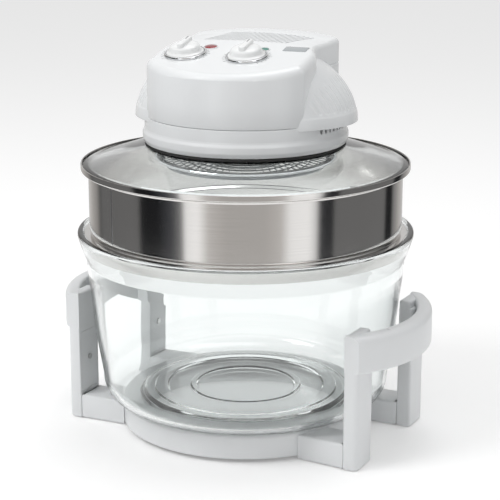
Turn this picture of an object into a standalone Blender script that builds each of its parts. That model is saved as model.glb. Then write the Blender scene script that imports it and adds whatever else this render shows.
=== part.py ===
"""Countertop halogen oven: white stand, glass bowl, steel extension ring, glass lid with the heater head.

Metres, +Z up. The origin is the middle of the stand on the table, -Y is the front and +X the right.
The lid is loose: it is lifted off by its two side grips, and here it was set down slightly turned.
"""

import math

import bmesh
import bpy
from mathutils import Matrix, Vector

# Shared clearances and counts
GAP = 0.0003
OVERRUN = 0.002
MERGE = 0.00001
ROUND_STEPS = 40
GUARD_STEPS = 32
SMALL_STEPS = 16
SCREW_STEPS = 8
LID_TURN = math.radians(7.3)

# The bowl's lip, foot and seat, which the stand and the ring follow
BOWL_LIP_RADIUS = 0.1653
BOWL_FOOT_SHARE = 0.72
BOWL_FOOT_WIDTH = 0.015
BOWL_LIP_WIDTH = 0.0058
BOWL_SEAT_WIDTH = 0.0075
BOWL_FOOT_OUTER = BOWL_LIP_RADIUS * BOWL_FOOT_SHARE
BOWL_FOOT_INNER = BOWL_FOOT_OUTER - BOWL_FOOT_WIDTH
BOWL_SEAT_RADIUS = BOWL_LIP_RADIUS - BOWL_LIP_WIDTH
BOWL_THROAT_RADIUS = BOWL_SEAT_RADIUS - BOWL_SEAT_WIDTH

# Stand: ring and arms
BASE_MARGIN = 0.0045
BASE_WIDTH = 0.0255
BASE_RADIUS = BOWL_FOOT_OUTER + BASE_MARGIN
BASE_INNER_RADIUS = BASE_RADIUS - BASE_WIDTH
BASE_TOP = 0.028
BASE_BOTTOM = 0.004
BASE_ROUND = 0.004
BASE_WALL = 0.003
LIP_WIDTH = 0.0035
LIP_HEIGHT = 0.003
ARM_INSET = 0.0265
ARM_START = BASE_RADIUS - ARM_INSET
ARM_INNER_Y = 0.0439
ARM_OUTER_Y = 0.0781
ARM_SPLAY = math.radians(3.66)
ARM_TOP = 0.0255
FOOT_STAND_OFF = 0.001
FOOT_RADIUS = 0.009
FOOT_DEPTH = 0.003
FOOT_INSET = 0.0155
FOOT_Y = 0.063

# Carrying handles: two posts and a bowed grip on each side
POST_INSET = 0.0198
POST_DEPTH = 0.0145
POST_INNER_X = BOWL_LIP_RADIUS - POST_INSET
POST_OUTER_X = POST_INNER_X + POST_DEPTH
FOOT_X = POST_INNER_X - FOOT_INSET
POST_INNER_Y = 0.048
POST_OUTER_Y = 0.082
POST_CORNER = 0.007
POST_POCKET_TOP = 0.091
GRIP_BOW = 0.030
GRIP_RADIUS = 0.127
GRIP_CENTRE_X = POST_OUTER_X + GRIP_BOW - GRIP_RADIUS
GRIP_THICKNESS = 0.015
GRIP_BOTTOM = 0.096
GRIP_TOP = 0.132
GRIP_ROUND = 0.009
GRIP_SMALL_ROUND = 0.002
GRIP_STEPS = 16
HANDLE_WALL = 0.003
COVER_THICKNESS = 0.0022
COVER_SCREW_Z = 0.062
SCREW_RADIUS = 0.0015
SCREW_HEAD_RADIUS = 0.003
SCREW_HEAD_HEIGHT = 0.0012
BOSS_RADIUS = 0.0045

# Glass bowl
BOWL_HEIGHT = 0.1717
BOWL_WALL = 0.005
BOWL_CORNER = 0.024
BOWL_KICK_HEIGHT = 0.004
BOWL_KICK_SLANT = 0.002
BOWL_BOTTOM_THICKNESS = 0.0054
BOWL_SEAT_DEPTH = 0.0035
BOWL_LIP_ROUND = 0.0015
BOWL_WALL_SHARES = (
    (1.000, 0.975),
    (0.971, 0.889),
    (0.950, 0.837),
    (0.947, 0.767),
    (0.927, 0.610),
    (0.910, 0.429),
    (0.886, 0.278),
)
BOWL_WALL_LAST_INNER = 3

# Steel extension ring
STEEL_SHEET = 0.0011
RING_RISE = 0.0655
RING_PLAY = 0.0007
RING_SKIRT_PLAY = 0.0014
RING_STEP_WIDTH = 0.0029
RING_RIM_WIDTH = 0.0073
RING_FLANGE_RADIUS = BOWL_SEAT_RADIUS - RING_PLAY
RING_SKIRT_RADIUS = BOWL_THROAT_RADIUS - RING_SKIRT_PLAY
RING_WALL_RADIUS = RING_SKIRT_RADIUS + RING_STEP_WIDTH
RING_RIM_RADIUS = RING_WALL_RADIUS + RING_RIM_WIDTH
RING_FLANGE_HEIGHT = 0.0022
RING_SKIRT_DEPTH = 0.0105
RING_STEP_HEIGHT = 0.0045
RING_STEP_SLANT = 0.0022
RING_RIM_HEIGHT = 0.0052
RING_FLARE = 0.0028

# Glass lid and its silicone seal, heights from the rim's underside
GLASS_PLAY = 0.0011
GLASS_FLAT_INSET = 0.0021
GLASS_CONE_INSET = 0.0066
GLASS_RADIUS = RING_RIM_RADIUS - STEEL_SHEET - GLASS_PLAY
GLASS_FLAT_RADIUS = GLASS_RADIUS - GLASS_FLAT_INSET
GLASS_CONE_RADIUS = GLASS_RADIUS - GLASS_CONE_INSET
GLASS_THICKNESS = 0.0041
GLASS_RIM_THICKNESS = 0.0037
GLASS_RIM_ROUND = 0.0010
GLASS_CONE_FOOT = 0.0046
GLASS_CONE_SLOPE = 0.311
GLASS_CROWN = 0.0005
SEAL_LEAST = 0.0008

# Collar: the round lower housing of the head
COLLAR_RADIUS = 0.100
COLLAR_TOP_INSET = 0.002
COLLAR_EDGE_INSET = 0.0022
GLASS_OPENING_INSET = 0.010
COLLAR_TOP_RADIUS = COLLAR_RADIUS - COLLAR_TOP_INSET
COLLAR_EDGE_RADIUS = COLLAR_RADIUS - COLLAR_EDGE_INSET
GLASS_OPENING_RADIUS = COLLAR_RADIUS - GLASS_OPENING_INSET
COLLAR_HEIGHT = 0.0263
COLLAR_CREASE = 0.0140
COLLAR_BELLY_LOW = 0.0045
COLLAR_BELLY_HIGH = 0.0095
COLLAR_WALL = 0.0025
COLLAR_HOLE_RADIUS = 0.012
VENT_WIDTH = 0.0032
VENT_DEPTH = 0.0087
VENT_PITCH = math.radians(3.9)
VENT_COUNT = 13

# Under the lid: heat shield, guard and lamp
SHIELD_SHEET = 0.001
SHIELD_PLAY = 0.0008
SHIELD_FLANGE_WIDTH = 0.0058
SHIELD_SCREW_INSET = 0.0162
SHIELD_RADIUS = GLASS_OPENING_RADIUS - SHIELD_PLAY
SHIELD_FLANGE_RADIUS = SHIELD_RADIUS + SHIELD_FLANGE_WIDTH
SHIELD_SCREW_RADIUS = SHIELD_RADIUS - SHIELD_SCREW_INSET
SHIELD_HOLE_RADIUS = 0.008
GUARD_INSET = 0.0052
GUARD_RADIUS = SHIELD_RADIUS - GUARD_INSET
GUARD_SHEET = 0.0009
GUARD_DEPTH = 0.0240
GUARD_LIP_WIDTH = 0.003
GUARD_ROUND = 0.003
GUARD_WINDOW_COUNT = 16
GUARD_WINDOW_WIDTH = 0.020
GUARD_WINDOW_HEIGHT = 0.0085
GUARD_WINDOW_RISE = 0.0105
GUARD_WINDOW_CUT_SHARE = 0.25
GUARD_HOLE_RADIUS = 0.0062
GUARD_HOLE_SIDES = 6
GUARD_HOLE_ROW_SHARES = ((0.262, 5), (0.512, 9), (0.762, 13))
GUARD_RING_WIDTH = 0.006
GUARD_RING_RADIUS = GUARD_RADIUS + GUARD_RING_WIDTH
GUARD_RING_RISE = 0.0050
GUARD_RING_HEIGHT = 0.0022
LAMP_INSET = 0.024
LAMP_RADIUS = GUARD_RADIUS - LAMP_INSET
LAMP_TUBE_RADIUS = 0.005
LAMP_DROP = 0.0140
LAMP_GAP_ANGLE = math.radians(44)
LAMP_POINTS = 30
HOLDER_LENGTH = 0.014
HOLDER_WIDTH = 0.016
HOLDER_DEPTH = 0.0195

# Fans and motor
SHAFT_RADIUS = 0.003
FAN_HUB_RADIUS = 0.008
FAN_BLADE = 0.0016
HOT_FAN_INSET = 0.014
HOT_FAN_RADIUS = LAMP_RADIUS - HOT_FAN_INSET
HOT_FAN_BLADES = 8
HOT_FAN_HEIGHT = 0.009
HOT_FAN_DROP = 0.0035
BRACKET_SPAN_INSET = 0.046
COOL_FAN_INSET = 0.007
BRACKET_HALF_SPAN = COLLAR_TOP_RADIUS - BRACKET_SPAN_INSET
COOL_FAN_RADIUS = BRACKET_HALF_SPAN - COOL_FAN_INSET
COOL_FAN_BLADES = 10
COOL_FAN_HEIGHT = 0.010
COOL_FAN_RISE = 0.004
SHAFT_LOWER_END = 0.0022
SHAFT_UPPER_END = 0.003
BRACKET_RISE = 0.0170
BRACKET_SHEET = 0.002
BRACKET_WIDTH = 0.034
BRACKET_FOOT = 0.010
BUSH_RADIUS = 0.0055
BUSH_COLLAR = 0.0015
STACK_HEIGHT = 0.018
STACK_HALF_WIDTH = 0.030
STACK_FRONT = 0.020
STACK_BACK = 0.044
STACK_WINDOW_HALF_WIDTH = 0.017
STACK_WINDOW_FRONT = 0.019
STACK_WINDOW_BACK = 0.032
ROTOR_RADIUS = 0.0125
ROTOR_CLEARANCE = 0.001
COIL_HALF_WIDTH = 0.015
COIL_BUILD = 0.008
COIL_FRONT_SHARE = 0.25
PLATE_HALF_LENGTH = 0.024
PLATE_HALF_WIDTH = 0.012

# Head: the upper casing with the control panel
HEAD_SIDE_INSET = 0.0193
HEAD_WAIST_INSET = 0.0102
HEAD_REAR_INSET = 0.0037
HEAD_RADIUS = COLLAR_TOP_RADIUS
HEAD_HALF_WIDTH = HEAD_RADIUS - HEAD_SIDE_INSET
HEAD_WAIST_HALF_WIDTH = HEAD_HALF_WIDTH - HEAD_WAIST_INSET
HEAD_REAR_HALF_WIDTH = HEAD_HALF_WIDTH - HEAD_REAR_INSET
HEAD_SHOULDER_FRONT = -0.020
HEAD_SHOULDER_BACK = 0.002
HEAD_CORNER = 0.004
HEAD_FRONT_HEIGHT = 0.0490
HEAD_WALL = 0.0025
HEAD_EDGE_ROUND = 0.005
HEAD_FRONT_STEPS = 8
HEAD_BACK_STEPS = 5
PANEL_SLOPE = 0.19
ROOF_SLOPE = 0.10
ROOF_FALL_SLOPE = -0.13
ROOF_BREAK_Y = 0.005
ROOF_FALL_Y = 0.060
EAR_OUTSET = 0.012
EAR_LENGTH_INSET = 0.0126
EAR_REACH = HEAD_RADIUS + EAR_OUTSET
EAR_LENGTH = HEAD_RADIUS - EAR_LENGTH_INSET
EAR_HEIGHT = 0.0754
EAR_DROP = 0.0032
EAR_WALL = 0.0028
EAR_BACK = 0.0625
EAR_STEPS = 32
EAR_ROWS = 16
ROOF_SLOT_COUNT = 9
ROOF_SLOT_PITCH = 0.0105
ROOF_SLOT_WIDTH = 0.0024
ROOF_SLOT_LENGTH = 0.042
ROOF_SLOT_X = 0.0045
ROOF_SLOT_Y = 0.0255
ROOF_SLOT_SLANT = math.radians(-25)

# Controls, places in the head's own plan
TIMER_INSET = 0.0327
TIMER_X = TIMER_INSET - HEAD_HALF_WIDTH
THERMOSTAT_X_SHARE = 0.2033
THERMOSTAT_X = HEAD_HALF_WIDTH * THERMOSTAT_X_SHARE
KNOB_Y = -0.040
KNOB_RADIUS = 0.0180
KNOB_TOP_RADIUS = 0.0150
KNOB_HEIGHT = 0.0105
KNOB_BAR_WIDTH = 0.0075
KNOB_BAR_HEIGHT = 0.0035
KNOB_ROUND = 0.0020
BEZEL_RADIUS = 0.0205
BEZEL_HEIGHT = 0.0022
SPINDLE_RADIUS = 0.003
SPINDLE_IN_KNOB = 0.007
SPINDLE_IN_BODY = 0.010
BUSHING_RADIUS = 0.0045
CONTROL_SIZE = 0.032
CONTROL_DEPTH = 0.024
LENS_Y = -0.017
RED_LENS_OFFSET = 0.017
GREEN_LENS_X_SHARE = 0.3177
RED_LENS_X = TIMER_X + RED_LENS_OFFSET
GREEN_LENS_X = HEAD_HALF_WIDTH * GREEN_LENS_X_SHARE
RED_LENS_RADIUS = 0.0060
GREEN_LENS_RADIUS = 0.0048
LENS_RISE = 0.0012
LENS_DEPTH = 0.006
WINDOW_INSET = 0.0237
WINDOW_X = HEAD_HALF_WIDTH - WINDOW_INSET
WINDOW_Y = -0.012
WINDOW_WIDTH = 0.023
WINDOW_LENGTH = 0.013
WINDOW_THICKNESS = 0.001

# Cord inlet and terminal block at the back of the head
INLET_RISE = 0.016
BLOCK_INSET = 0.025
INLET_RADIUS = 0.0062
INLET_FLANGE_RADIUS = 0.0090
INLET_FLANGE = 0.003
INLET_BORE = 0.0035
INLET_SLEEVE = 0.006
BLOCK_SIZE = (0.024, 0.012, 0.012)
BLOCK_Y = HEAD_RADIUS - BLOCK_INSET

# Heights that follow from the sizes above
ARM_BOTTOM = FOOT_STAND_OFF
BOWL_FOOT_Z = BASE_TOP + GAP
BOWL_TOP_Z = BOWL_FOOT_Z + BOWL_HEIGHT
BOWL_SEAT_Z = BOWL_TOP_Z - BOWL_SEAT_DEPTH
RING_SEAT_Z = BOWL_SEAT_Z + GAP
RING_LEDGE_Z = RING_SEAT_Z + RING_RISE
LID_SEAT_Z = RING_LEDGE_Z + GAP
SEAL_BOTTOM_RADIUS = GLASS_OPENING_RADIUS + GAP


def glass_top(radius):
    """Height of the glass lid's outer face above its rim's underside."""
    return GLASS_CONE_FOOT + GLASS_CONE_SLOPE * (GLASS_CONE_RADIUS - radius)


COLLAR_BOTTOM = glass_top(GLASS_OPENING_RADIUS) + SEAL_LEAST + GAP
COLLAR_FLOOR = COLLAR_BOTTOM + COLLAR_WALL
COLLAR_TOP = COLLAR_BOTTOM + COLLAR_HEIGHT
SHIELD_TOP = COLLAR_BOTTOM - GAP
SHIELD_UNDER = SHIELD_TOP - SHIELD_SHEET
GUARD_TOP = SHIELD_UNDER - GAP
GUARD_BOTTOM = GUARD_TOP - GUARD_DEPTH
LAMP_Z = SHIELD_UNDER - LAMP_DROP
HEAD_BOTTOM = COLLAR_TOP + GAP
PANEL_FRONT_Z = HEAD_BOTTOM + HEAD_FRONT_HEIGHT
BRACKET_Z = COLLAR_FLOOR + BRACKET_RISE
STACK_Z = BRACKET_Z + BRACKET_SHEET + GAP
PLATE_Z = STACK_Z + STACK_HEIGHT + GAP
INLET_Z = HEAD_BOTTOM + INLET_RISE
PANEL_TILT = math.atan(PANEL_SLOPE)


def roof_height(y):
    """Height of the head's top face over the lid's plan position y."""
    panel = PANEL_FRONT_Z + PANEL_SLOPE * (y + HEAD_RADIUS)
    at_break = PANEL_FRONT_Z + PANEL_SLOPE * (ROOF_BREAK_Y + HEAD_RADIUS)
    roof = at_break + ROOF_SLOPE * (y - ROOF_BREAK_Y)
    at_fall = at_break + ROOF_SLOPE * (ROOF_FALL_Y - ROOF_BREAK_Y)
    return min(panel, roof, at_fall + ROOF_FALL_SLOPE * (y - ROOF_FALL_Y))


# Scene and shared helpers


def clear_scene():
    for obj in list(bpy.data.objects):
        bpy.data.objects.remove(obj, do_unlink=True)


def new_collection(name):
    collection = bpy.data.collections.new(name)
    bpy.context.scene.collection.children.link(collection)
    return collection


def new_material(name, colour, roughness, metallic=0.0, transmission=0.0):
    material = bpy.data.materials.new(name)
    material.use_nodes = True
    shader = material.node_tree.nodes["Principled BSDF"]
    shader.inputs["Base Color"].default_value = (*colour, 1.0)
    shader.inputs["Roughness"].default_value = roughness
    shader.inputs["Metallic"].default_value = metallic
    shader.inputs["Transmission Weight"].default_value = transmission
    material.diffuse_color = (*colour, 1.0)
    return material


def new_empty(name, parent=None, location=(0, 0, 0), rotation=(0, 0, 0)):
    empty = bpy.data.objects.new(name, None)
    parts.objects.link(empty)
    empty.parent = parent
    empty.location = location
    empty.rotation_euler = rotation
    return empty


def new_part(name, mesh, material, parent=None, location=(0, 0, 0)):
    obj = bpy.data.objects.new(name, mesh)
    parts.objects.link(obj)
    obj.parent = parent
    obj.location = location
    if material is not None:
        mesh.materials.append(material)
    return obj


def as_helper(obj):
    """Turns an object into a hidden cutter or a joined-in solid."""
    parts.objects.unlink(obj)
    cutters.objects.link(obj)
    obj.hide_render = True
    obj.display_type = "WIRE"
    return obj


def boolean(target, other, operation):
    modifier = target.modifiers.new(operation.lower() + " " + other.name, "BOOLEAN")
    modifier.operation = operation
    modifier.object = as_helper(other) if other.name in parts.objects else other


def cut(target, *others):
    for other in others:
        boolean(target, other, "DIFFERENCE")


def join(target, *others):
    for other in others:
        boolean(target, other, "UNION")


def mesh_from(name, bm):
    bmesh.ops.recalc_face_normals(bm, faces=bm.faces[:])
    mesh = bpy.data.meshes.new(name)
    bm.to_mesh(mesh)
    bm.free()
    return mesh


def arc(centre, radius, start, end, steps):
    """Points on an arc round centre, with start and end in degrees."""
    angles = [math.radians(start + (end - start) * step / steps) for step in range(steps + 1)]
    return [(centre[0] + radius * math.cos(a), centre[1] + radius * math.sin(a)) for a in angles]


def turned(name, profile, material, parent=None, closed=True, steps=ROUND_STEPS):
    """A profile of (radius, height) points turned round Z: down its outer side, then up its inner side."""
    bm = bmesh.new()
    verts = [bm.verts.new((radius, 0, height)) for radius, height in profile]
    ends = verts[1:] + verts[:1] if closed else verts[1:]
    for first, second in zip(verts, ends):
        bm.edges.new((first, second))
    mesh = bpy.data.meshes.new(name)
    bm.to_mesh(mesh)
    bm.free()
    obj = new_part(name, mesh, material, parent)
    screw = obj.modifiers.new("turn", "SCREW")
    screw.steps = steps
    screw.render_steps = steps
    screw.use_merge_vertices = True
    screw.merge_threshold = MERGE
    screw.use_smooth_shade = True
    return obj


def box(name, size, centre, material=None, parent=None, rotation_z=0):
    bm = bmesh.new()
    bmesh.ops.create_cube(bm, size=1, matrix=Matrix.Diagonal((*size, 1)))
    obj = new_part(name, mesh_from(name, bm), material, parent, centre)
    obj.rotation_euler.z = rotation_z
    return obj


def cylinder(name, radius, bottom, top, place=(0, 0), material=None, parent=None, steps=SMALL_STEPS):
    bm = bmesh.new()
    height = top - bottom
    bmesh.ops.create_cone(
        bm, cap_ends=True, segments=steps, radius1=radius, radius2=radius, depth=height
    )
    return new_part(name, mesh_from(name, bm), material, parent, (*place, bottom + height / 2))


def prism(name, outlines, bottom, top, material=None, parent=None):
    """Flat outlines, the first one outside and the rest holes, extruded from bottom to top."""
    curve = bpy.data.curves.new(name, "CURVE")
    curve.dimensions = "2D"
    curve.fill_mode = "BOTH"
    curve.extrude = (top - bottom) / 2
    for outline in outlines:
        spline = curve.splines.new("POLY")
        spline.points.add(len(outline) - 1)
        for point, (x, y) in zip(spline.points, outline):
            point.co = (x, y, 0, 1)
        spline.use_cyclic_u = True
    drawn = bpy.data.objects.new(name + " outline", curve)
    parts.objects.link(drawn)
    bpy.context.view_layer.update()
    graph = bpy.context.evaluated_depsgraph_get()
    mesh = bpy.data.meshes.new_from_object(drawn.evaluated_get(graph))
    bpy.data.objects.remove(drawn, do_unlink=True)
    bpy.data.curves.remove(curve)
    bm = bmesh.new()
    bm.from_mesh(mesh)
    bpy.data.meshes.remove(mesh)
    bmesh.ops.remove_doubles(bm, verts=bm.verts[:], dist=MERGE)
    bmesh.ops.dissolve_limit(
        bm, angle_limit=math.radians(1), verts=bm.verts[:], edges=bm.edges[:]
    )
    location = (0, 0, bottom + (top - bottom) / 2)
    return new_part(name, mesh_from(name, bm), material, parent, location)


def circle(radius, steps=SMALL_STEPS, place=(0, 0)):
    return arc(place, radius, 0, 360 - 360 / steps, steps - 1)


def rectangle(x0, x1, y0, y1):
    return [(x0, y0), (x1, y0), (x1, y1), (x0, y1)]


def bisected(bm, point, normal):
    """Cuts away what lies on the normal's side of a plane, and closes the cut."""
    geometry = bm.verts[:] + bm.edges[:] + bm.faces[:]
    found = bmesh.ops.bisect_plane(
        bm, geom=geometry, plane_co=point, plane_no=normal, clear_outer=True, dist=MERGE
    )
    rim = [item for item in found["geom_cut"] if isinstance(item, bmesh.types.BMEdge)]
    bmesh.ops.holes_fill(bm, edges=rim)


# Stand


def base_profile():
    """Section of the ring: an outer skirt, a flat deck and a low lip inside the bowl's foot."""
    lip_radius = BASE_INNER_RADIUS + LIP_WIDTH
    inside = BASE_TOP - BASE_WALL
    shoulder = arc(
        (BASE_RADIUS - BASE_ROUND, BASE_TOP - BASE_ROUND), BASE_ROUND, 90, 0, 3
    )
    return [
        (lip_radius, BASE_TOP + LIP_HEIGHT),
        (lip_radius, BASE_TOP),
        *shoulder,
        (BASE_RADIUS, BASE_BOTTOM),
        (BASE_RADIUS - BASE_WALL, BASE_BOTTOM),
        (BASE_RADIUS - BASE_WALL, inside),
        (BASE_INNER_RADIUS, inside),
        (BASE_INNER_RADIUS, BASE_TOP + LIP_HEIGHT),
    ]


def arm_outline():
    """Plan of one arm, splayed outwards from the ring to the post."""
    end = POST_INNER_X - GAP
    spread = (end - ARM_START) * math.tan(ARM_SPLAY)
    return [
        (ARM_START, ARM_INNER_Y),
        (end, ARM_INNER_Y + spread),
        (end, ARM_OUTER_Y + spread),
        (ARM_START, ARM_OUTER_Y),
    ]


def mirrored(outline, x_sign, y_sign):
    return [(x * x_sign, y * y_sign) for x, y in outline]


def corners():
    """Name and signs of the stand's four corners."""
    for x_sign, side in ((-1, "left"), (1, "right")):
        for y_sign, end in ((-1, "front"), (1, "rear")):
            yield side + "_" + end, x_sign, y_sign


def make_base_frame():
    frame = turned("base_frame", base_profile(), white_plastic)
    for name, x_sign, y_sign in corners():
        outline = mirrored(arm_outline(), x_sign, y_sign)
        join(frame, prism(name + "_arm", [outline], ARM_BOTTOM, ARM_TOP))
    for name, x_sign, y_sign in corners():
        place = (FOOT_X * x_sign, FOOT_Y * y_sign)
        pocket = cylinder(name + "_foot_pocket", FOOT_RADIUS + GAP, -OVERRUN, FOOT_DEPTH + GAP, place)
        cut(frame, pocket)
        cylinder(name + "_foot", FOOT_RADIUS, 0, FOOT_DEPTH, place, rubber)


def post_outline(y_sign):
    """Plan of one post of the right handle, its two outer corners rounded."""
    outer = (POST_OUTER_X - POST_CORNER, POST_OUTER_Y - POST_CORNER)
    inner = (POST_OUTER_X - GRIP_SMALL_ROUND, POST_INNER_Y + GRIP_SMALL_ROUND)
    outline = [
        (POST_INNER_X, POST_OUTER_Y),
        (POST_INNER_X, POST_INNER_Y),
        *arc(inner, GRIP_SMALL_ROUND, -90, 0, 2),
        *arc(outer, POST_CORNER, 0, 90, 4),
    ]
    return mirrored(outline, 1, y_sign)


def post_head_outline(y_sign):
    """Plan of the post's top, which fills the corner inside the grip's arc."""
    inner_radius = GRIP_RADIUS - GRIP_THICKNESS
    reach = POST_INNER_X - GRIP_CENTRE_X
    outer_reach = POST_OUTER_X - GRIP_CENTRE_X - GRIP_SMALL_ROUND
    outline = [
        (POST_INNER_X, POST_INNER_Y),
        (POST_INNER_X, math.sqrt(inner_radius**2 - reach**2)),
        (GRIP_CENTRE_X + outer_reach, math.sqrt(inner_radius**2 - outer_reach**2)),
        (GRIP_CENTRE_X + outer_reach, POST_INNER_Y),
    ]
    return mirrored(outline, 1, y_sign)


def grip_profile():
    """Cross-section of the grip as (radius from its own centre, height)."""
    inner = GRIP_RADIUS - GRIP_THICKNESS
    top = arc((GRIP_RADIUS - GRIP_ROUND, GRIP_TOP - GRIP_ROUND), GRIP_ROUND, 90, 0, 3)
    return [
        (inner, GRIP_TOP),
        *top,
        (GRIP_RADIUS, GRIP_BOTTOM + GRIP_SMALL_ROUND),
        (GRIP_RADIUS - GRIP_SMALL_ROUND, GRIP_BOTTOM),
        (inner, GRIP_BOTTOM),
    ]


def grip_band(name, material, parent):
    """The bowed grip: its section swept round a centre on the X axis, then trimmed square to the posts."""
    half_angle = math.asin(POST_OUTER_Y / (GRIP_RADIUS - GRIP_THICKNESS))
    half_angle += math.asin(OVERRUN / GRIP_RADIUS)
    bm = bmesh.new()
    verts = []
    for radius, height in grip_profile():
        x = GRIP_CENTRE_X + radius * math.cos(half_angle)
        verts.append(bm.verts.new((x, -radius * math.sin(half_angle), height)))
    section = bm.faces.new(verts)
    bmesh.ops.spin(
        bm,
        geom=[section],
        cent=(GRIP_CENTRE_X, 0, 0),
        axis=(0, 0, 1),
        angle=2 * half_angle,
        steps=GRIP_STEPS,
    )
    bisected(bm, (0, POST_OUTER_Y, 0), (0, 1, 0))
    bisected(bm, (0, -POST_OUTER_Y, 0), (0, -1, 0))
    bisected(bm, (POST_INNER_X, 0, 0), (-1, 0, 0))
    return new_part(name, mesh_from(name, bm), material, parent)


def along_x(obj):
    """Turns a piece made along Z so that it lies along X, its top towards +X."""
    obj.rotation_euler.y = math.radians(90)


def make_post_cover(side_name, end_name, y_sign, handle, side):
    """A post's inner cover with its screw, and the pocket and boss behind them."""
    name = side_name + "_" + end_name
    middle_y = y_sign * (POST_INNER_Y + POST_OUTER_Y) / 2
    width = POST_OUTER_Y - POST_INNER_Y - 2 * HANDLE_WALL
    bottom = ARM_TOP + HANDLE_WALL
    height = POST_POCKET_TOP - bottom
    middle_z = bottom + height / 2
    back = POST_OUTER_X - HANDLE_WALL
    depth = back - POST_INNER_X
    pocket = box(
        name + "_pocket",
        (depth + OVERRUN, width, height),
        (back - (depth + OVERRUN) / 2, middle_y, middle_z),
        parent=side,
    )
    cut(handle, pocket)
    boss_front = POST_INNER_X + COVER_THICKNESS + GAP
    place = (0, middle_y, COVER_SCREW_Z)
    boss = cylinder(
        name + "_boss", BOSS_RADIUS, boss_front, back + GAP, parent=side, steps=SCREW_STEPS
    )
    hole = cylinder(
        name + "_boss_hole", SCREW_RADIUS + GAP, 0, back - GAP, parent=side, steps=SCREW_STEPS
    )
    for piece, centre_x in ((boss, (boss_front + back + GAP) / 2), (hole, (back - GAP) / 2)):
        piece.location = (centre_x, *place[1:])
        along_x(piece)
    join(handle, boss)
    cut(handle, hole)
    cover = box(
        name + "_post_cover",
        (COVER_THICKNESS, width - 2 * GAP, height - 2 * GAP),
        (POST_INNER_X + COVER_THICKNESS / 2, middle_y, middle_z),
        white_plastic,
        side,
    )
    cover_hole = cylinder(
        name + "_cover_hole",
        SCREW_RADIUS + GAP,
        -COVER_THICKNESS,
        COVER_THICKNESS,
        parent=side,
        steps=SCREW_STEPS,
    )
    cover_hole.location = (POST_INNER_X + COVER_THICKNESS / 2, *place[1:])
    along_x(cover_hole)
    cut(cover, cover_hole)
    head_front = POST_INNER_X - GAP
    screw = turned(
        name + "_screw",
        [
            (0, back - 2 * GAP),
            (SCREW_RADIUS, back - 2 * GAP),
            (SCREW_RADIUS, head_front),
            (SCREW_HEAD_RADIUS, head_front),
            (SCREW_HEAD_RADIUS, head_front - SCREW_HEAD_HEIGHT),
            (0, head_front - SCREW_HEAD_HEIGHT),
        ],
        steel,
        side,
        closed=False,
        steps=SCREW_STEPS,
    )
    screw.location = place
    along_x(screw)


def make_handle(side_name, turn, end_names):
    """One carrying handle. The left one is the right one turned half a turn."""
    side = new_empty(side_name + "_side", rotation=(0, 0, turn))
    shoulder = GRIP_TOP - GRIP_ROUND
    handle = grip_band(side_name + "_handle", white_plastic, side)
    for y_sign, end_name in end_names:
        name = side_name + "_" + end_name
        post = prism(name + "_post", [post_outline(y_sign)], ARM_BOTTOM, shoulder, parent=side)
        head = prism(
            name + "_post_head", [post_head_outline(y_sign)], GRIP_BOTTOM, GRIP_TOP, parent=side
        )
        join(handle, post, head)
    for y_sign, end_name in end_names:
        make_post_cover(side_name, end_name, y_sign, handle, side)


def make_stand():
    make_base_frame()
    make_handle("right", 0, ((-1, "front"), (1, "rear")))
    make_handle("left", math.pi, ((1, "front"), (-1, "rear")))


# Bowl and extension ring


def bowl_profile():
    wall = [
        (BOWL_LIP_RADIUS * radius, BOWL_FOOT_Z + BOWL_HEIGHT * height)
        for radius, height in BOWL_WALL_SHARES
    ]
    corner_centre = (BOWL_FOOT_OUTER, BOWL_FOOT_Z + BOWL_CORNER)
    outer_corner = arc(corner_centre, BOWL_CORNER, 6, -90, 5)
    inner_corner = arc(corner_centre, BOWL_CORNER - BOWL_WALL, -90, 6, 5)
    inner_wall = [
        (min(radius - BOWL_WALL, BOWL_THROAT_RADIUS), height)
        for radius, height in reversed(wall[BOWL_WALL_LAST_INNER:])
    ]
    kick_radius = BOWL_FOOT_INNER - BOWL_KICK_SLANT
    kick_z = BOWL_FOOT_Z + BOWL_KICK_HEIGHT
    inner_kick = kick_radius - BOWL_KICK_SLANT
    inner_floor = kick_z + BOWL_BOTTOM_THICKNESS
    return [
        (0, inner_floor),
        (inner_kick, inner_floor),
        (BOWL_FOOT_INNER, BOWL_FOOT_Z + BOWL_WALL),
        *inner_corner,
        *inner_wall,
        (BOWL_THROAT_RADIUS, BOWL_SEAT_Z),
        (BOWL_SEAT_RADIUS, BOWL_SEAT_Z),
        (BOWL_SEAT_RADIUS, BOWL_TOP_Z - BOWL_LIP_ROUND),
        (BOWL_SEAT_RADIUS + BOWL_LIP_ROUND, BOWL_TOP_Z),
        (BOWL_LIP_RADIUS - BOWL_LIP_ROUND, BOWL_TOP_Z),
        *wall,
        *outer_corner,
        (BOWL_FOOT_INNER, BOWL_FOOT_Z),
        (kick_radius, kick_z),
        (0, kick_z),
    ]


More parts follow.
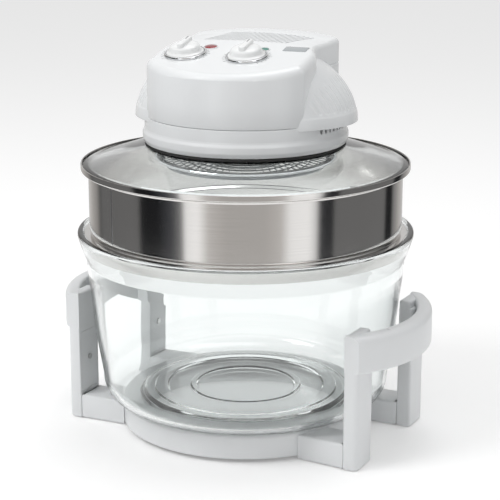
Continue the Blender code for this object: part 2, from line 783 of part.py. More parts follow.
def ring_profile():
    """Sheet-steel wall with a seat flange and skirt below, and a stepped rim above."""
    flange_top = RING_SEAT_Z + RING_FLANGE_HEIGHT
    step_z = RING_SEAT_Z + RING_STEP_HEIGHT
    neck = RING_SKIRT_RADIUS + STEEL_SHEET
    inner_wall = RING_WALL_RADIUS - STEEL_SHEET
    rim_top = RING_LEDGE_Z + RING_RIM_HEIGHT
    rim_inside = RING_RIM_RADIUS - STEEL_SHEET
    return [
        (RING_RIM_RADIUS, rim_top),
        (RING_RIM_RADIUS, RING_LEDGE_Z),
        (rim_inside, RING_LEDGE_Z - STEEL_SHEET),
        (RING_WALL_RADIUS + STEEL_SHEET, RING_LEDGE_Z - STEEL_SHEET),
        (RING_WALL_RADIUS, RING_LEDGE_Z - STEEL_SHEET - RING_FLARE),
        (RING_WALL_RADIUS, step_z + RING_STEP_SLANT),
        (neck, step_z),
        (neck, flange_top),
        (RING_FLANGE_RADIUS - STEEL_SHEET / 2, flange_top),
        (RING_FLANGE_RADIUS, flange_top - STEEL_SHEET),
        (RING_FLANGE_RADIUS - STEEL_SHEET / 2, RING_SEAT_Z),
        (RING_SKIRT_RADIUS, RING_SEAT_Z),
        (RING_SKIRT_RADIUS, RING_SEAT_Z - RING_SKIRT_DEPTH),
        (RING_SKIRT_RADIUS - STEEL_SHEET, RING_SEAT_Z - RING_SKIRT_DEPTH),
        (RING_SKIRT_RADIUS - STEEL_SHEET, step_z),
        (inner_wall, step_z + RING_STEP_SLANT + STEEL_SHEET / 2),
        (inner_wall, RING_LEDGE_Z - STEEL_SHEET - RING_FLARE),
        (RING_WALL_RADIUS, RING_LEDGE_Z),
        (rim_inside, RING_LEDGE_Z),
        (rim_inside, rim_top),
    ]


def make_vessel():
    turned("glass_bowl", bowl_profile(), clear_glass, closed=False)
    turned("extension_ring", ring_profile(), steel)


# Lid glass and what hangs under it


def make_lid_glass(lid):
    crown_radius = (GLASS_CONE_RADIUS + GLASS_OPENING_RADIUS) / 2
    crown = glass_top(crown_radius) + GLASS_CROWN
    turned(
        "glass_lid",
        [
            (GLASS_OPENING_RADIUS, glass_top(GLASS_OPENING_RADIUS)),
            (crown_radius, crown),
            (GLASS_CONE_RADIUS, GLASS_CONE_FOOT),
            (GLASS_FLAT_RADIUS, GLASS_RIM_THICKNESS),
            (GLASS_RADIUS, GLASS_RIM_THICKNESS - GLASS_RIM_ROUND),
            (GLASS_RADIUS, GLASS_RIM_ROUND),
            (GLASS_RADIUS - GLASS_RIM_ROUND, 0),
            (GLASS_CONE_RADIUS, 0),
            (crown_radius, crown - GLASS_THICKNESS),
            (GLASS_OPENING_RADIUS, glass_top(GLASS_OPENING_RADIUS) - GLASS_THICKNESS),
        ],
        clear_glass,
        lid,
    )
    seal_top = COLLAR_BOTTOM - GAP
    seal_radius = COLLAR_EDGE_RADIUS
    turned(
        "lid_seal",
        [
            (seal_radius, seal_top),
            (seal_radius, glass_top(seal_radius) + GLASS_CROWN + GAP),
            (SEAL_BOTTOM_RADIUS, glass_top(SEAL_BOTTOM_RADIUS) + GAP),
            (SEAL_BOTTOM_RADIUS, seal_top),
        ],
        rubber,
        lid,
    )


def shield_screw_places():
    for number, degrees in enumerate((30, 150, 270), start=1):
        angle = math.radians(degrees)
        x = SHIELD_SCREW_RADIUS * math.cos(angle)
        yield number, (x, SHIELD_SCREW_RADIUS * math.sin(angle))


def make_shield(lid, collar):
    """Pressed steel pan that clamps the glass to the collar, with its three screws."""
    inner = SHIELD_RADIUS - SHIELD_SHEET

    def glass_under(radius):
        return glass_top(radius) - GLASS_THICKNESS - GAP

    shield = turned(
        "heat_shield",
        [
            (SHIELD_HOLE_RADIUS, SHIELD_TOP),
            (SHIELD_RADIUS, SHIELD_TOP),
            (SHIELD_RADIUS, glass_under(SHIELD_RADIUS)),
            (SHIELD_FLANGE_RADIUS, glass_under(SHIELD_FLANGE_RADIUS)),
            (SHIELD_FLANGE_RADIUS, glass_under(SHIELD_FLANGE_RADIUS) - SHIELD_SHEET),
            (inner, glass_under(inner) - SHIELD_SHEET),
            (inner, SHIELD_UNDER),
            (SHIELD_HOLE_RADIUS, SHIELD_UNDER),
        ],
        steel,
        lid,
    )
    for number, place in shield_screw_places():
        name = "shield_screw_" + str(number)
        hole = cylinder(
            name + "_hole",
            SCREW_RADIUS + GAP,
            SHIELD_UNDER - OVERRUN,
            COLLAR_FLOOR + OVERRUN,
            place,
            parent=lid,
            steps=SCREW_STEPS,
        )
        cut(shield, hole)
        cut(collar, hole)
        head = SHIELD_UNDER - GAP
        screw = turned(
            name,
            [
                (0, COLLAR_FLOOR),
                (SCREW_RADIUS, COLLAR_FLOOR),
                (SCREW_RADIUS, head),
                (SCREW_HEAD_RADIUS, head),
                (SCREW_HEAD_RADIUS, head - SCREW_HEAD_HEIGHT),
                (0, head - SCREW_HEAD_HEIGHT),
            ],
            steel,
            lid,
            closed=False,
            steps=SCREW_STEPS,
        )
        screw.location = (*place, 0)


def guard_cutter(lid):
    """All windows in the guard's wall and holes in its floor, as one cutter."""
    bm = bmesh.new()
    window_z = GUARD_BOTTOM + GUARD_WINDOW_RISE
    cut_depth = GUARD_RADIUS * GUARD_WINDOW_CUT_SHARE
    window = Matrix.Diagonal((cut_depth, GUARD_WINDOW_WIDTH, GUARD_WINDOW_HEIGHT, 1))
    for number in range(GUARD_WINDOW_COUNT):
        turn = Matrix.Rotation(math.tau * (number + 0.5) / GUARD_WINDOW_COUNT, 4, "Z")
        move = Matrix.Translation((GUARD_RADIUS, 0, window_z))
        bmesh.ops.create_cube(bm, size=1, matrix=turn @ move @ window)
    for share, count in GUARD_HOLE_ROW_SHARES:
        radius = GUARD_RADIUS * share
        for number in range(count):
            turn = Matrix.Rotation(math.tau * number / count, 4, "Z")
            move = Matrix.Translation((radius, 0, GUARD_BOTTOM))
            bmesh.ops.create_cone(
                bm,
                cap_ends=True,
                segments=GUARD_HOLE_SIDES,
                radius1=GUARD_HOLE_RADIUS,
                radius2=GUARD_HOLE_RADIUS,
                depth=GUARD_ROUND + OVERRUN,
                matrix=turn @ move,
            )
    return new_part("guard_cutter", mesh_from("guard_cutter", bm), None, lid)


def make_guard(lid):
    """Perforated steel basket round the lamp, with its polished ring."""
    inner = GUARD_RADIUS - GUARD_SHEET
    floor = GUARD_BOTTOM + GUARD_SHEET
    lip_radius = GUARD_RADIUS + GUARD_LIP_WIDTH
    guard = turned(
        "lamp_guard",
        [
            (lip_radius, GUARD_TOP),
            (lip_radius, GUARD_TOP - GUARD_SHEET),
            (GUARD_RADIUS, GUARD_TOP - GUARD_SHEET),
            (GUARD_RADIUS, GUARD_BOTTOM + GUARD_ROUND),
            (GUARD_RADIUS - GUARD_ROUND, GUARD_BOTTOM),
            (0, GUARD_BOTTOM),
            (0, floor),
            (inner - GUARD_ROUND, floor),
            (inner, floor + GUARD_ROUND),
            (inner, GUARD_TOP),
        ],
        steel,
        lid,
        steps=GUARD_STEPS,
    )
    cut(guard, guard_cutter(lid))
    ring_z = GUARD_BOTTOM + GUARD_RING_RISE
    ring_inner = GUARD_RADIUS + GAP
    turned(
        "guard_ring",
        [
            (GUARD_RING_RADIUS - GUARD_SHEET, ring_z + GUARD_RING_HEIGHT),
            (GUARD_RING_RADIUS, ring_z + GUARD_RING_HEIGHT / 2),
            (GUARD_RING_RADIUS - GUARD_SHEET, ring_z),
            (ring_inner, ring_z),
            (ring_inner, ring_z + GUARD_RING_HEIGHT),
        ],
        chrome,
        lid,
        steps=GUARD_STEPS,
    )


def make_lamp(lid):
    """Ring-shaped halogen tube, open at the back, between two ceramic holders."""
    curve = bpy.data.curves.new("halogen_lamp", "CURVE")
    curve.dimensions = "3D"
    curve.bevel_depth = LAMP_TUBE_RADIUS
    curve.bevel_resolution = 2
    curve.use_fill_caps = True
    spline = curve.splines.new("POLY")
    spline.points.add(LAMP_POINTS - 1)
    start = math.pi / 2 + LAMP_GAP_ANGLE / 2
    sweep = math.tau - LAMP_GAP_ANGLE
    for number, point in enumerate(spline.points):
        angle = start + sweep * number / (LAMP_POINTS - 1)
        point.co = (LAMP_RADIUS * math.cos(angle), LAMP_RADIUS * math.sin(angle), LAMP_Z, 1)
    curve.materials.append(lamp_glass)
    lamp = bpy.data.objects.new("halogen_lamp", curve)
    parts.objects.link(lamp)
    lamp.parent = lid
    end_step = sweep / (LAMP_POINTS - 1)
    for side_name, sign in (("left", 1), ("right", -1)):
        angle = math.pi / 2 + sign * LAMP_GAP_ANGLE / 2
        direction = Vector((math.sin(angle), -math.cos(angle), 0)) * sign
        end = Vector((math.cos(angle), math.sin(angle), 0)) * LAMP_RADIUS
        tilt = LAMP_TUBE_RADIUS * math.sin(end_step)
        centre = end + direction * (HOLDER_LENGTH / 2 + GAP + tilt)
        top = SHIELD_UNDER - GAP
        box(
            side_name + "_lamp_holder",
            (HOLDER_LENGTH, HOLDER_WIDTH, HOLDER_DEPTH),
            (centre.x, centre.y, top - HOLDER_DEPTH / 2),
            ceramic,
            lid,
            rotation_z=math.atan2(direction.y, direction.x),
        )


# Collar


def vent_cutter(lid):
    """All the upright vent slots on both sides of the collar, as one cutter."""
    bm = bmesh.new()
    bottom = COLLAR_TOP - VENT_DEPTH
    half = VENT_WIDTH / 2
    outline = [
        (half, COLLAR_TOP + OVERRUN),
        (-half, COLLAR_TOP + OVERRUN),
        *arc((0, bottom + half), half, 180, 360, 3),
    ]
    inside = COLLAR_TOP_RADIUS - COLLAR_WALL - OVERRUN
    reach = COLLAR_RADIUS + OVERRUN - inside
    for side in (0, math.pi):
        for number in range(VENT_COUNT):
            angle = side + VENT_PITCH * (number - (VENT_COUNT - 1) / 2)
            turn = Matrix.Rotation(angle, 4, "Z")
            verts = [bm.verts.new(turn @ Vector((inside, y, z))) for y, z in outline]
            face = bm.faces.new(verts)
            grown = bmesh.ops.extrude_face_region(bm, geom=[face])["geom"]
            moved = [item for item in grown if isinstance(item, bmesh.types.BMVert)]
            bmesh.ops.translate(bm, verts=moved, vec=turn @ Vector((reach, 0, 0)))
    return new_part("vent_cutter", mesh_from("vent_cutter", bm), None, lid)


def make_collar(lid):
    crease = COLLAR_BOTTOM + COLLAR_CREASE
    inner_top = COLLAR_TOP_RADIUS - COLLAR_WALL
    collar = turned(
        "collar",
        [
            (COLLAR_TOP_RADIUS, COLLAR_TOP),
            (COLLAR_TOP_RADIUS, crease),
            (COLLAR_RADIUS, COLLAR_BOTTOM + COLLAR_BELLY_HIGH),
            (COLLAR_RADIUS, COLLAR_BOTTOM + COLLAR_BELLY_LOW),
            (COLLAR_EDGE_RADIUS, COLLAR_BOTTOM),
            (COLLAR_HOLE_RADIUS, COLLAR_BOTTOM),
            (COLLAR_HOLE_RADIUS, COLLAR_FLOOR),
            (inner_top, COLLAR_FLOOR),
            (inner_top, COLLAR_TOP),
        ],
        white_plastic,
        lid,
    )
    cut(collar, vent_cutter(lid))
    return collar


# Fans and motor


def fan_outline(tip_radius, blades):
    """Plan of a hub with straight radial blades."""
    points = []
    half_root = math.asin(FAN_BLADE / 2 / FAN_HUB_RADIUS)
    half_tip = math.asin(FAN_BLADE / 2 / tip_radius)
    for number in range(blades):
        middle = math.tau * number / blades
        for radius, offset in (
            (FAN_HUB_RADIUS, -half_root),
            (tip_radius, -half_tip),
            (tip_radius, half_tip),
            (FAN_HUB_RADIUS, half_root),
        ):
            angle = middle + offset
            points.append((radius * math.cos(angle), radius * math.sin(angle)))
    return points


def make_fans(lid):
    """Hot-air fan, cooling fan and rotor on one shaft."""
    bore = circle(SHAFT_RADIUS + GAP)
    hot_top = SHIELD_UNDER - HOT_FAN_DROP
    cool_bottom = COLLAR_FLOOR + COOL_FAN_RISE
    hot_bottom = hot_top - HOT_FAN_HEIGHT
    hot_plan = [fan_outline(HOT_FAN_RADIUS, HOT_FAN_BLADES), bore]
    cool_plan = [fan_outline(COOL_FAN_RADIUS, COOL_FAN_BLADES), bore]
    prism("hot_fan", hot_plan, hot_bottom, hot_top, steel, lid)
    prism("cooling_fan", cool_plan, cool_bottom, cool_bottom + COOL_FAN_HEIGHT, steel, lid)
    rotor_plan = [circle(ROTOR_RADIUS), bore]
    prism("motor_rotor", rotor_plan, STACK_Z + GAP, STACK_Z + STACK_HEIGHT - GAP, steel, lid)
    shaft_top = PLATE_Z + BRACKET_SHEET + BUSH_COLLAR + SHAFT_UPPER_END
    cylinder(
        "motor_shaft",
        SHAFT_RADIUS,
        hot_bottom - SHAFT_LOWER_END,
        shaft_top,
        material=steel,
        parent=lid,
    )


def make_motor(lid):
    """Shaded-pole motor on a sheet-metal bridge over the cooling fan."""
    top = BRACKET_Z + BRACKET_SHEET
    leg_top = BRACKET_Z + BRACKET_SHEET / 2
    leg_bottom = COLLAR_FLOOR + GAP
    leg_height = leg_top - leg_bottom
    half_width = BRACKET_WIDTH / 2
    bridge_plan = [
        rectangle(-BRACKET_HALF_SPAN, BRACKET_HALF_SPAN, -half_width, half_width),
        circle(BUSH_RADIUS + GAP),
    ]
    bracket = prism("motor_bracket", bridge_plan, BRACKET_Z, top, steel, lid)
    for side_name, sign in (("left", -1), ("right", 1)):
        leg_x = sign * (BRACKET_HALF_SPAN - BRACKET_SHEET / 2)
        foot_x = sign * (BRACKET_HALF_SPAN + BRACKET_FOOT / 2 - BRACKET_SHEET / 2)
        leg = box(
            side_name + "_bracket_leg",
            (BRACKET_SHEET, BRACKET_WIDTH, leg_height),
            (leg_x, 0, leg_bottom + leg_height / 2),
            parent=lid,
        )
        foot = box(
            side_name + "_bracket_foot",
            (BRACKET_FOOT, BRACKET_WIDTH, BRACKET_SHEET),
            (foot_x, 0, leg_bottom + BRACKET_SHEET / 2),
            parent=lid,
        )
        join(bracket, leg, foot)
    stack_plan = [
        rectangle(-STACK_HALF_WIDTH, STACK_HALF_WIDTH, -STACK_FRONT, STACK_BACK),
        circle(ROTOR_RADIUS + ROTOR_CLEARANCE),
        rectangle(
            -STACK_WINDOW_HALF_WIDTH,
            STACK_WINDOW_HALF_WIDTH,
            STACK_WINDOW_FRONT,
            STACK_WINDOW_BACK,
        ),
    ]
    prism("motor_stator", stack_plan, STACK_Z, STACK_Z + STACK_HEIGHT, steel, lid)
    make_coil(lid)
    plate_plan = [
        rectangle(-PLATE_HALF_LENGTH, PLATE_HALF_LENGTH, -PLATE_HALF_WIDTH, PLATE_HALF_WIDTH),
        circle(BUSH_RADIUS + GAP),
    ]
    prism("bearing_plate", plate_plan, PLATE_Z, PLATE_Z + BRACKET_SHEET, steel, lid)
    bush_plan = [circle(BUSH_RADIUS), circle(SHAFT_RADIUS + GAP)]
    lower_bottom = BRACKET_Z - BUSH_COLLAR
    prism("lower_bush", bush_plan, lower_bottom, top, brass, lid)
    prism("upper_bush", bush_plan, PLATE_Z, PLATE_Z + BRACKET_SHEET + BUSH_COLLAR, brass, lid)


def make_coil(lid):
    """The winding round the stator's back limb, through its window."""
    half = COIL_HALF_WIDTH
    inner_front = STACK_WINDOW_BACK - GAP
    inner_back = STACK_BACK + GAP
    inner_bottom = STACK_Z - GAP
    inner_top = STACK_Z + STACK_HEIGHT + GAP
    window_length = STACK_WINDOW_BACK - STACK_WINDOW_FRONT
    front = STACK_WINDOW_FRONT + GAP + window_length * COIL_FRONT_SHARE
    middle_y = (front + inner_back + COIL_BUILD) / 2
    middle_z = (inner_bottom + inner_top) / 2
    coil = box(
        "motor_coil",
        (2 * half, inner_back + COIL_BUILD - front, inner_top - inner_bottom + COIL_BUILD),
        (0, middle_y, middle_z),
        copper,
        lid,
    )
    core = box(
        "coil_core",
        (2 * half + OVERRUN, inner_back - inner_front, inner_top - inner_bottom),
        (0, (inner_front + inner_back) / 2, middle_z),
        parent=lid,
    )
    cut(coil, core)


# Head casing


def head_outline(inset):
    """Plan of the head: round front and back, a waist behind the shoulders and sides that spread again."""
    radius = HEAD_RADIUS - inset
    half = HEAD_HALF_WIDTH - inset
    waist_half = HEAD_WAIST_HALF_WIDTH - inset
    rear_half = HEAD_REAR_HALF_WIDTH - inset
    front_angle = math.degrees(math.asin(half / radius))
    back_angle = math.degrees(math.asin((rear_half - HEAD_CORNER) / radius))
    corner_y = math.sqrt(radius**2 - rear_half**2) - HEAD_CORNER
    shoulder_middle = (HEAD_SHOULDER_FRONT + HEAD_SHOULDER_BACK) / 2
    right = [
        *arc((0, 0), radius, -90, -90 + front_angle, HEAD_FRONT_STEPS),
        (half, HEAD_SHOULDER_FRONT),
        ((half + waist_half) / 2, shoulder_middle),
        (waist_half, HEAD_SHOULDER_BACK),
        (rear_half, corner_y),
        *arc((0, 0), radius, 90 - back_angle, 90, HEAD_BACK_STEPS),
    ]
    left = [(-x, y) for x, y in reversed(right[1:-1])]
    return right + left


def head_block(name, inset, parent, rounded=False):
    """The head's outer or inner volume: its plan under the sloping panel and roof."""
    base = HEAD_BOTTOM - OVERRUN if inset > 0 else HEAD_BOTTOM + inset
    tall = roof_height(ROOF_FALL_Y) + OVERRUN
    block = prism(name, [head_outline(inset)], base, tall, parent=parent)
    bm = bmesh.new()
    bm.from_mesh(block.data)
    lift = block.location.z
    for y, slope in (
        (-HEAD_RADIUS, PANEL_SLOPE),
        (ROOF_BREAK_Y, ROOF_SLOPE),
        (ROOF_FALL_Y, ROOF_FALL_SLOPE),
    ):
        point = (0, y, roof_height(y) - lift - inset)
        bisected(bm, point, Vector((0, -slope, 1)).normalized())
    if rounded:
        bm.normal_update()
        top_faces = {face for face in bm.faces if face.normal.z > math.cos(math.radians(30))}
        rim = [
            edge
            for edge in bm.edges
            if len([face for face in edge.link_faces if face in top_faces]) == 1
        ]
        bmesh.ops.bevel(
            bm,
            geom=rim,
            offset=HEAD_EDGE_ROUND,
            segments=2,
            affect="EDGES",
            profile=0.5,
            clamp_overlap=True,
        )
    bmesh.ops.recalc_face_normals(bm, faces=bm.faces[:])
    bm.to_mesh(block.data)
    bm.free()
    return block


def ellipsoid(name, shrink, floor, sign, parent):
    """One side of the grips' ellipsoid above floor, outside the middle of the head."""
    bm = bmesh.new()
    bmesh.ops.create_uvsphere(bm, u_segments=EAR_STEPS, v_segments=EAR_ROWS, radius=1)
    size = Vector((EAR_REACH - shrink, EAR_LENGTH - shrink, EAR_HEIGHT - shrink))
    bmesh.ops.transform(bm, matrix=Matrix.Diagonal((*size, 1)), verts=bm.verts[:])
    base = HEAD_BOTTOM - EAR_DROP
    bisected(bm, (0, 0, floor - base), (0, 0, -1))
    bisected(bm, (sign * (HEAD_WAIST_HALF_WIDTH - HEAD_EDGE_ROUND), 0, 0), (-sign, 0, 0))
    bisected(bm, (0, EAR_BACK - shrink, 0), (0, 1, 0))
    return new_part(name, mesh_from(name, bm), None, parent, (0, 0, base))


def make_ear(side_name, sign, lid, head_clearance, collar_clearance):
    """Side grip: a hollow bulge of the casing, open towards the head."""
    base = HEAD_BOTTOM - EAR_DROP
    ear = ellipsoid(side_name + "_ear", 0, base, sign, lid)
    ear.data.materials.append(white_plastic)
    hollow = ellipsoid(side_name + "_ear_hollow", EAR_WALL, base + EAR_WALL, sign, lid)
    cut(ear, hollow, head_clearance, collar_clearance)


def panel_point(x, y):
    """A place on the sloping control panel, from its plan position."""
    return (x, y, PANEL_FRONT_Z + PANEL_SLOPE * (y + HEAD_RADIUS))


def roof_slots(lid):
    """Slanted slots in the roof behind the controls, as one cutter."""
    bm = bmesh.new()
    size = Matrix.Diagonal((ROOF_SLOT_WIDTH, ROOF_SLOT_LENGTH, HEAD_RADIUS, 1))
    for number in range(ROOF_SLOT_COUNT):
        x = ROOF_SLOT_X + ROOF_SLOT_PITCH * (number - (ROOF_SLOT_COUNT - 1) / 2)
        move = Matrix.Translation((x, ROOF_SLOT_Y, roof_height(ROOF_SLOT_Y)))
        turn = Matrix.Rotation(ROOF_SLOT_SLANT, 4, "Z")
        bmesh.ops.create_cube(bm, size=1, matrix=move @ turn @ size)
    return new_part("roof_slots", mesh_from("roof_slots", bm), None, lid)


def make_head(lid):
    head = head_block("head_shell", 0, lid, rounded=True)
    head.data.materials.append(white_plastic)
    cut(head, head_block("head_hollow", HEAD_WALL, lid), roof_slots(lid))
    clearance = as_helper(head_block("head_clearance", -GAP, lid))
    collar_top = HEAD_BOTTOM
    collar_clearance = as_helper(
        cylinder(
            "collar_clearance",
            COLLAR_TOP_RADIUS + 2 * GAP,
            COLLAR_BOTTOM,
            collar_top,
            parent=lid,
            steps=ROUND_STEPS,
        )
    )
    for side_name, sign in (("left", -1), ("right", 1)):
        make_ear(side_name, sign, lid, clearance, collar_clearance)
    return head


# Controls


def make_control(name, x, lid, head):
    """Knob on its spindle, chrome bezel and the switch body under the panel."""
    axis = new_empty(name + "_axis", lid, panel_point(x, KNOB_Y), (PANEL_TILT, 0, 0))
    hole = cylinder(
        name + "_panel_hole", BUSHING_RADIUS, -HEAD_WALL - OVERRUN, OVERRUN, parent=axis
    )
    cut(head, hole)
    bore = SPINDLE_RADIUS + GAP
    bore_top = SPINDLE_IN_KNOB + GAP
    knob = turned(
        name + "_knob",
        [
            (0, KNOB_HEIGHT),
            (KNOB_TOP_RADIUS - KNOB_ROUND, KNOB_HEIGHT),
            (KNOB_TOP_RADIUS, KNOB_HEIGHT - KNOB_ROUND),
            (KNOB_RADIUS, KNOB_ROUND),
            (KNOB_RADIUS, GAP),
            (bore, GAP),
            (bore, bore_top),
            (0, bore_top),
        ],
        white_plastic,
        axis,
        closed=False,
        steps=SMALL_STEPS,
    )
    bar_height = KNOB_BAR_HEIGHT + KNOB_ROUND
    bar = box(
        name + "_knob_bar",
        (KNOB_BAR_WIDTH, 2 * (KNOB_TOP_RADIUS - KNOB_ROUND), bar_height),
        (0, 0, KNOB_HEIGHT + KNOB_BAR_HEIGHT - bar_height / 2),
        parent=axis,
    )
    join(knob, bar)
    bezel_inner = KNOB_RADIUS + 2 * GAP
    turned(
        name + "_bezel",
        [
            (BEZEL_RADIUS - GAP, BEZEL_HEIGHT),
            (BEZEL_RADIUS, BEZEL_HEIGHT / 2),
            (BEZEL_RADIUS, GAP),
            (bezel_inner, GAP),
            (bezel_inner, BEZEL_HEIGHT),
        ],
        chrome,
        axis,
        steps=SMALL_STEPS,
    )
    body_top = -HEAD_WALL - GAP
    body = box(
        name + "_body",
        (CONTROL_SIZE, CONTROL_SIZE, CONTROL_DEPTH),
        (0, 0, body_top - CONTROL_DEPTH / 2),
        grey_plastic,
        axis,
    )
    spindle_bottom = body_top - SPINDLE_IN_BODY
    socket = cylinder(name + "_socket", bore, spindle_bottom - GAP, 0, parent=axis)
    cut(body, socket)
    cylinder(
        name + "_spindle",
        SPINDLE_RADIUS,
        spindle_bottom,
        SPINDLE_IN_KNOB,
        material=steel,
        parent=axis,
    )


def make_lens(name, x, radius, material, lid, head):
    """Pilot lamp lens pushed through the panel."""
    seat = new_empty(name + "_seat", lid, panel_point(x, LENS_Y), (PANEL_TILT, 0, 0))
    cut(
        head,
        cylinder(name + "_hole", radius + GAP, -HEAD_WALL - OVERRUN, OVERRUN, parent=seat),
    )
    turned(
        name,
        [
            (0, LENS_RISE),
            (radius / 2, LENS_RISE),
            (radius, 0),
            (radius, -LENS_DEPTH),
            (0, -LENS_DEPTH),
        ],
        material,
        seat,
        closed=False,
        steps=SMALL_STEPS,
    )


def make_window(lid, head):
    """Small grey window inlaid in the panel."""
    seat = new_empty("window_seat", lid, panel_point(WINDOW_X, WINDOW_Y), (PANEL_TILT, 0, 0))
    depth = WINDOW_THICKNESS + GAP
    pocket = box(
        "window_pocket",
        (WINDOW_WIDTH + 2 * GAP, WINDOW_LENGTH + 2 * GAP, depth + OVERRUN),
        (0, 0, (OVERRUN - depth) / 2),
        parent=seat,
    )
    cut(head, pocket)
    box(
        "display_window",
        (WINDOW_WIDTH, WINDOW_LENGTH, WINDOW_THICKNESS),
        (0, 0, -WINDOW_THICKNESS / 2),
        smoked_plastic,
        seat,
    )


def make_inlet(lid, head):
    """Bushing for the mains cord in the back wall, and the terminal block inside."""
    seat = new_empty("inlet_seat", lid, (0, HEAD_RADIUS, INLET_Z), (math.radians(-90), 0, 0))
    cut(
        head,
        cylinder(
            "inlet_hole", INLET_RADIUS + GAP, -HEAD_WALL - OVERRUN, OVERRUN, parent=seat
        ),
    )
    inside = -HEAD_WALL - INLET_SLEEVE
    turned(
        "cord_inlet",
        [
            (INLET_FLANGE_RADIUS - GAP, GAP + INLET_FLANGE),
            (INLET_FLANGE_RADIUS, GAP),
            (INLET_RADIUS, GAP),
            (INLET_RADIUS, inside),
            (INLET_BORE, inside),
            (INLET_BORE, GAP + INLET_FLANGE),
        ],
        rubber,
        seat,
        steps=SMALL_STEPS,
    )
    block_z = COLLAR_FLOOR + GAP + BLOCK_SIZE[2] / 2
    box("terminal_block", BLOCK_SIZE, (0, BLOCK_Y, block_z), ceramic, lid)


def make_lid():
    lid = new_empty("lid_turn", location=(0, 0, LID_SEAT_Z), rotation=(0, 0, LID_TURN))
    make_lid_glass(lid)
    collar = make_collar(lid)
    make_shield(lid, collar)
    make_guard(lid)
    make_lamp(lid)
    make_fans(lid)
    make_motor(lid)
    head = make_head(lid)
    make_control("timer", TIMER_X, lid, head)
    make_control("thermostat", THERMOSTAT_X, lid, head)
    make_lens("red_lens", RED_LENS_X, RED_LENS_RADIUS, red_lens, lid, head)
    make_lens("green_lens", GREEN_LENS_X, GREEN_LENS_RADIUS, green_lens, lid, head)
    make_window(lid, head)
    make_inlet(lid, head)


clear_scene()
parts = new_collection("halogen_oven")
cutters = new_collection("cutters")

white_plastic = new_material("white_plastic", (0.87, 0.88, 0.88), 0.32)
grey_plastic = new_material("grey_plastic", (0.18, 0.18, 0.19), 0.5)
smoked_plastic = new_material("smoked_plastic", (0.42, 0.45, 0.46), 0.25)
rubber = new_material("rubber", (0.05, 0.05, 0.05), 0.8)
clear_glass = new_material("clear_glass", (0.93, 0.96, 0.95), 0.02, transmission=1.0)
lamp_glass = new_material("lamp_glass", (0.95, 0.93, 0.88), 0.15, transmission=0.6)
red_lens = new_material("red_lens", (0.45, 0.02, 0.03), 0.15, transmission=0.4)
green_lens = new_material("green_lens", (0.02, 0.35, 0.22), 0.15, transmission=0.4)
steel = new_material("steel", (0.62, 0.61, 0.60), 0.22, metallic=1.0)
chrome = new_material("chrome", (0.75, 0.76, 0.77), 0.08, metallic=1.0)
brass = new_material("brass", (0.72, 0.52, 0.24), 0.3, metallic=1.0)
copper = new_material("copper", (0.60, 0.26, 0.12), 0.35, metallic=1.0)
ceramic = new_material("ceramic", (0.85, 0.83, 0.78), 0.6)

make_stand()
make_vessel()
make_lid()
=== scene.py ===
"""The looks of the halogen oven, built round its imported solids.

Metres, +Z up, -Y is the front and +X the right. Pieces of the lid are drawn in the lid's own frame, whose
origin is the middle of its seat, and then placed by LID. Tables of points are (radius, height) for pieces
turned round Z, and (x, y) for plans.
"""

import math

import bmesh
import bpy
from mathutils import Matrix, Vector


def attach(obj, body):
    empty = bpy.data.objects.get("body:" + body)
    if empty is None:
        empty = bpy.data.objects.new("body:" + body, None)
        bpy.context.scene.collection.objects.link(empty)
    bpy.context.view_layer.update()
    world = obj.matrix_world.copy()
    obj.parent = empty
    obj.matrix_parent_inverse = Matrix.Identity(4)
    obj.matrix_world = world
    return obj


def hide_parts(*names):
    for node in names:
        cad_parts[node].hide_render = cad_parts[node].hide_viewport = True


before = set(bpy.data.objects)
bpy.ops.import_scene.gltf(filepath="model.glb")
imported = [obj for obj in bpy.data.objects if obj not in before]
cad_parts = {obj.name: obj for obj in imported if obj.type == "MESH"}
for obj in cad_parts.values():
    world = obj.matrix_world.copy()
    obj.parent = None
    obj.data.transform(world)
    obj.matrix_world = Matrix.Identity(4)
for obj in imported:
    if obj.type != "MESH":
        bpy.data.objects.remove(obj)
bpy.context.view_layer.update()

# Heights and places that the solids also have
LID_SEAT = 0.2626
LID_TURN = math.radians(7.3)
LID = Matrix.Translation((0, 0, LID_SEAT)) @ Matrix.Rotation(LID_TURN, 4, "Z")
GAP = 0.0003
COLLAR_BOTTOM = 0.024982
COLLAR_FLOOR = 0.027482
COLLAR_TOP = 0.051282
SHIELD_TOP = 0.024682
GUARD_TOP = 0.023382
GUARD_BOTTOM = -0.000618
HEAD_BOTTOM = 0.051582
HEAD_RADIUS = 0.098
PANEL_FRONT_Z = 0.100582
PANEL_SLOPE = 0.19
PANEL_TILT = math.atan(PANEL_SLOPE)
ROOF_SLOPE = 0.10
ROOF_BREAK_Y = 0.005
FINE = 160


# Mesh helpers


def fillet(points, radii, steps=4, closed=True):
    """The outline with its corners rounded. radii is one number, or one for each corner."""
    out = []
    count = len(points)
    for i, point in enumerate(points):
        radius = radii[i] if isinstance(radii, (list, tuple)) else radii
        corner = Vector(point)
        if radius <= 0 or (not closed and i in (0, count - 1)):
            out.append(tuple(corner))
            continue
        before = Vector(points[i - 1]) - corner
        after = Vector(points[(i + 1) % count]) - corner
        half = before.angle(after) / 2
        if half > math.radians(88):
            out.append(tuple(corner))
            continue
        reach = min(radius / math.tan(half), 0.48 * before.length, 0.48 * after.length)
        start = corner + before.normalized() * reach
        end = corner + after.normalized() * reach
        for step in range(steps + 1):
            t = step / steps
            spot = start * (1 - t) ** 2 + corner * (2 * t * (1 - t)) + end * t**2
            out.append(tuple(spot))
    return out


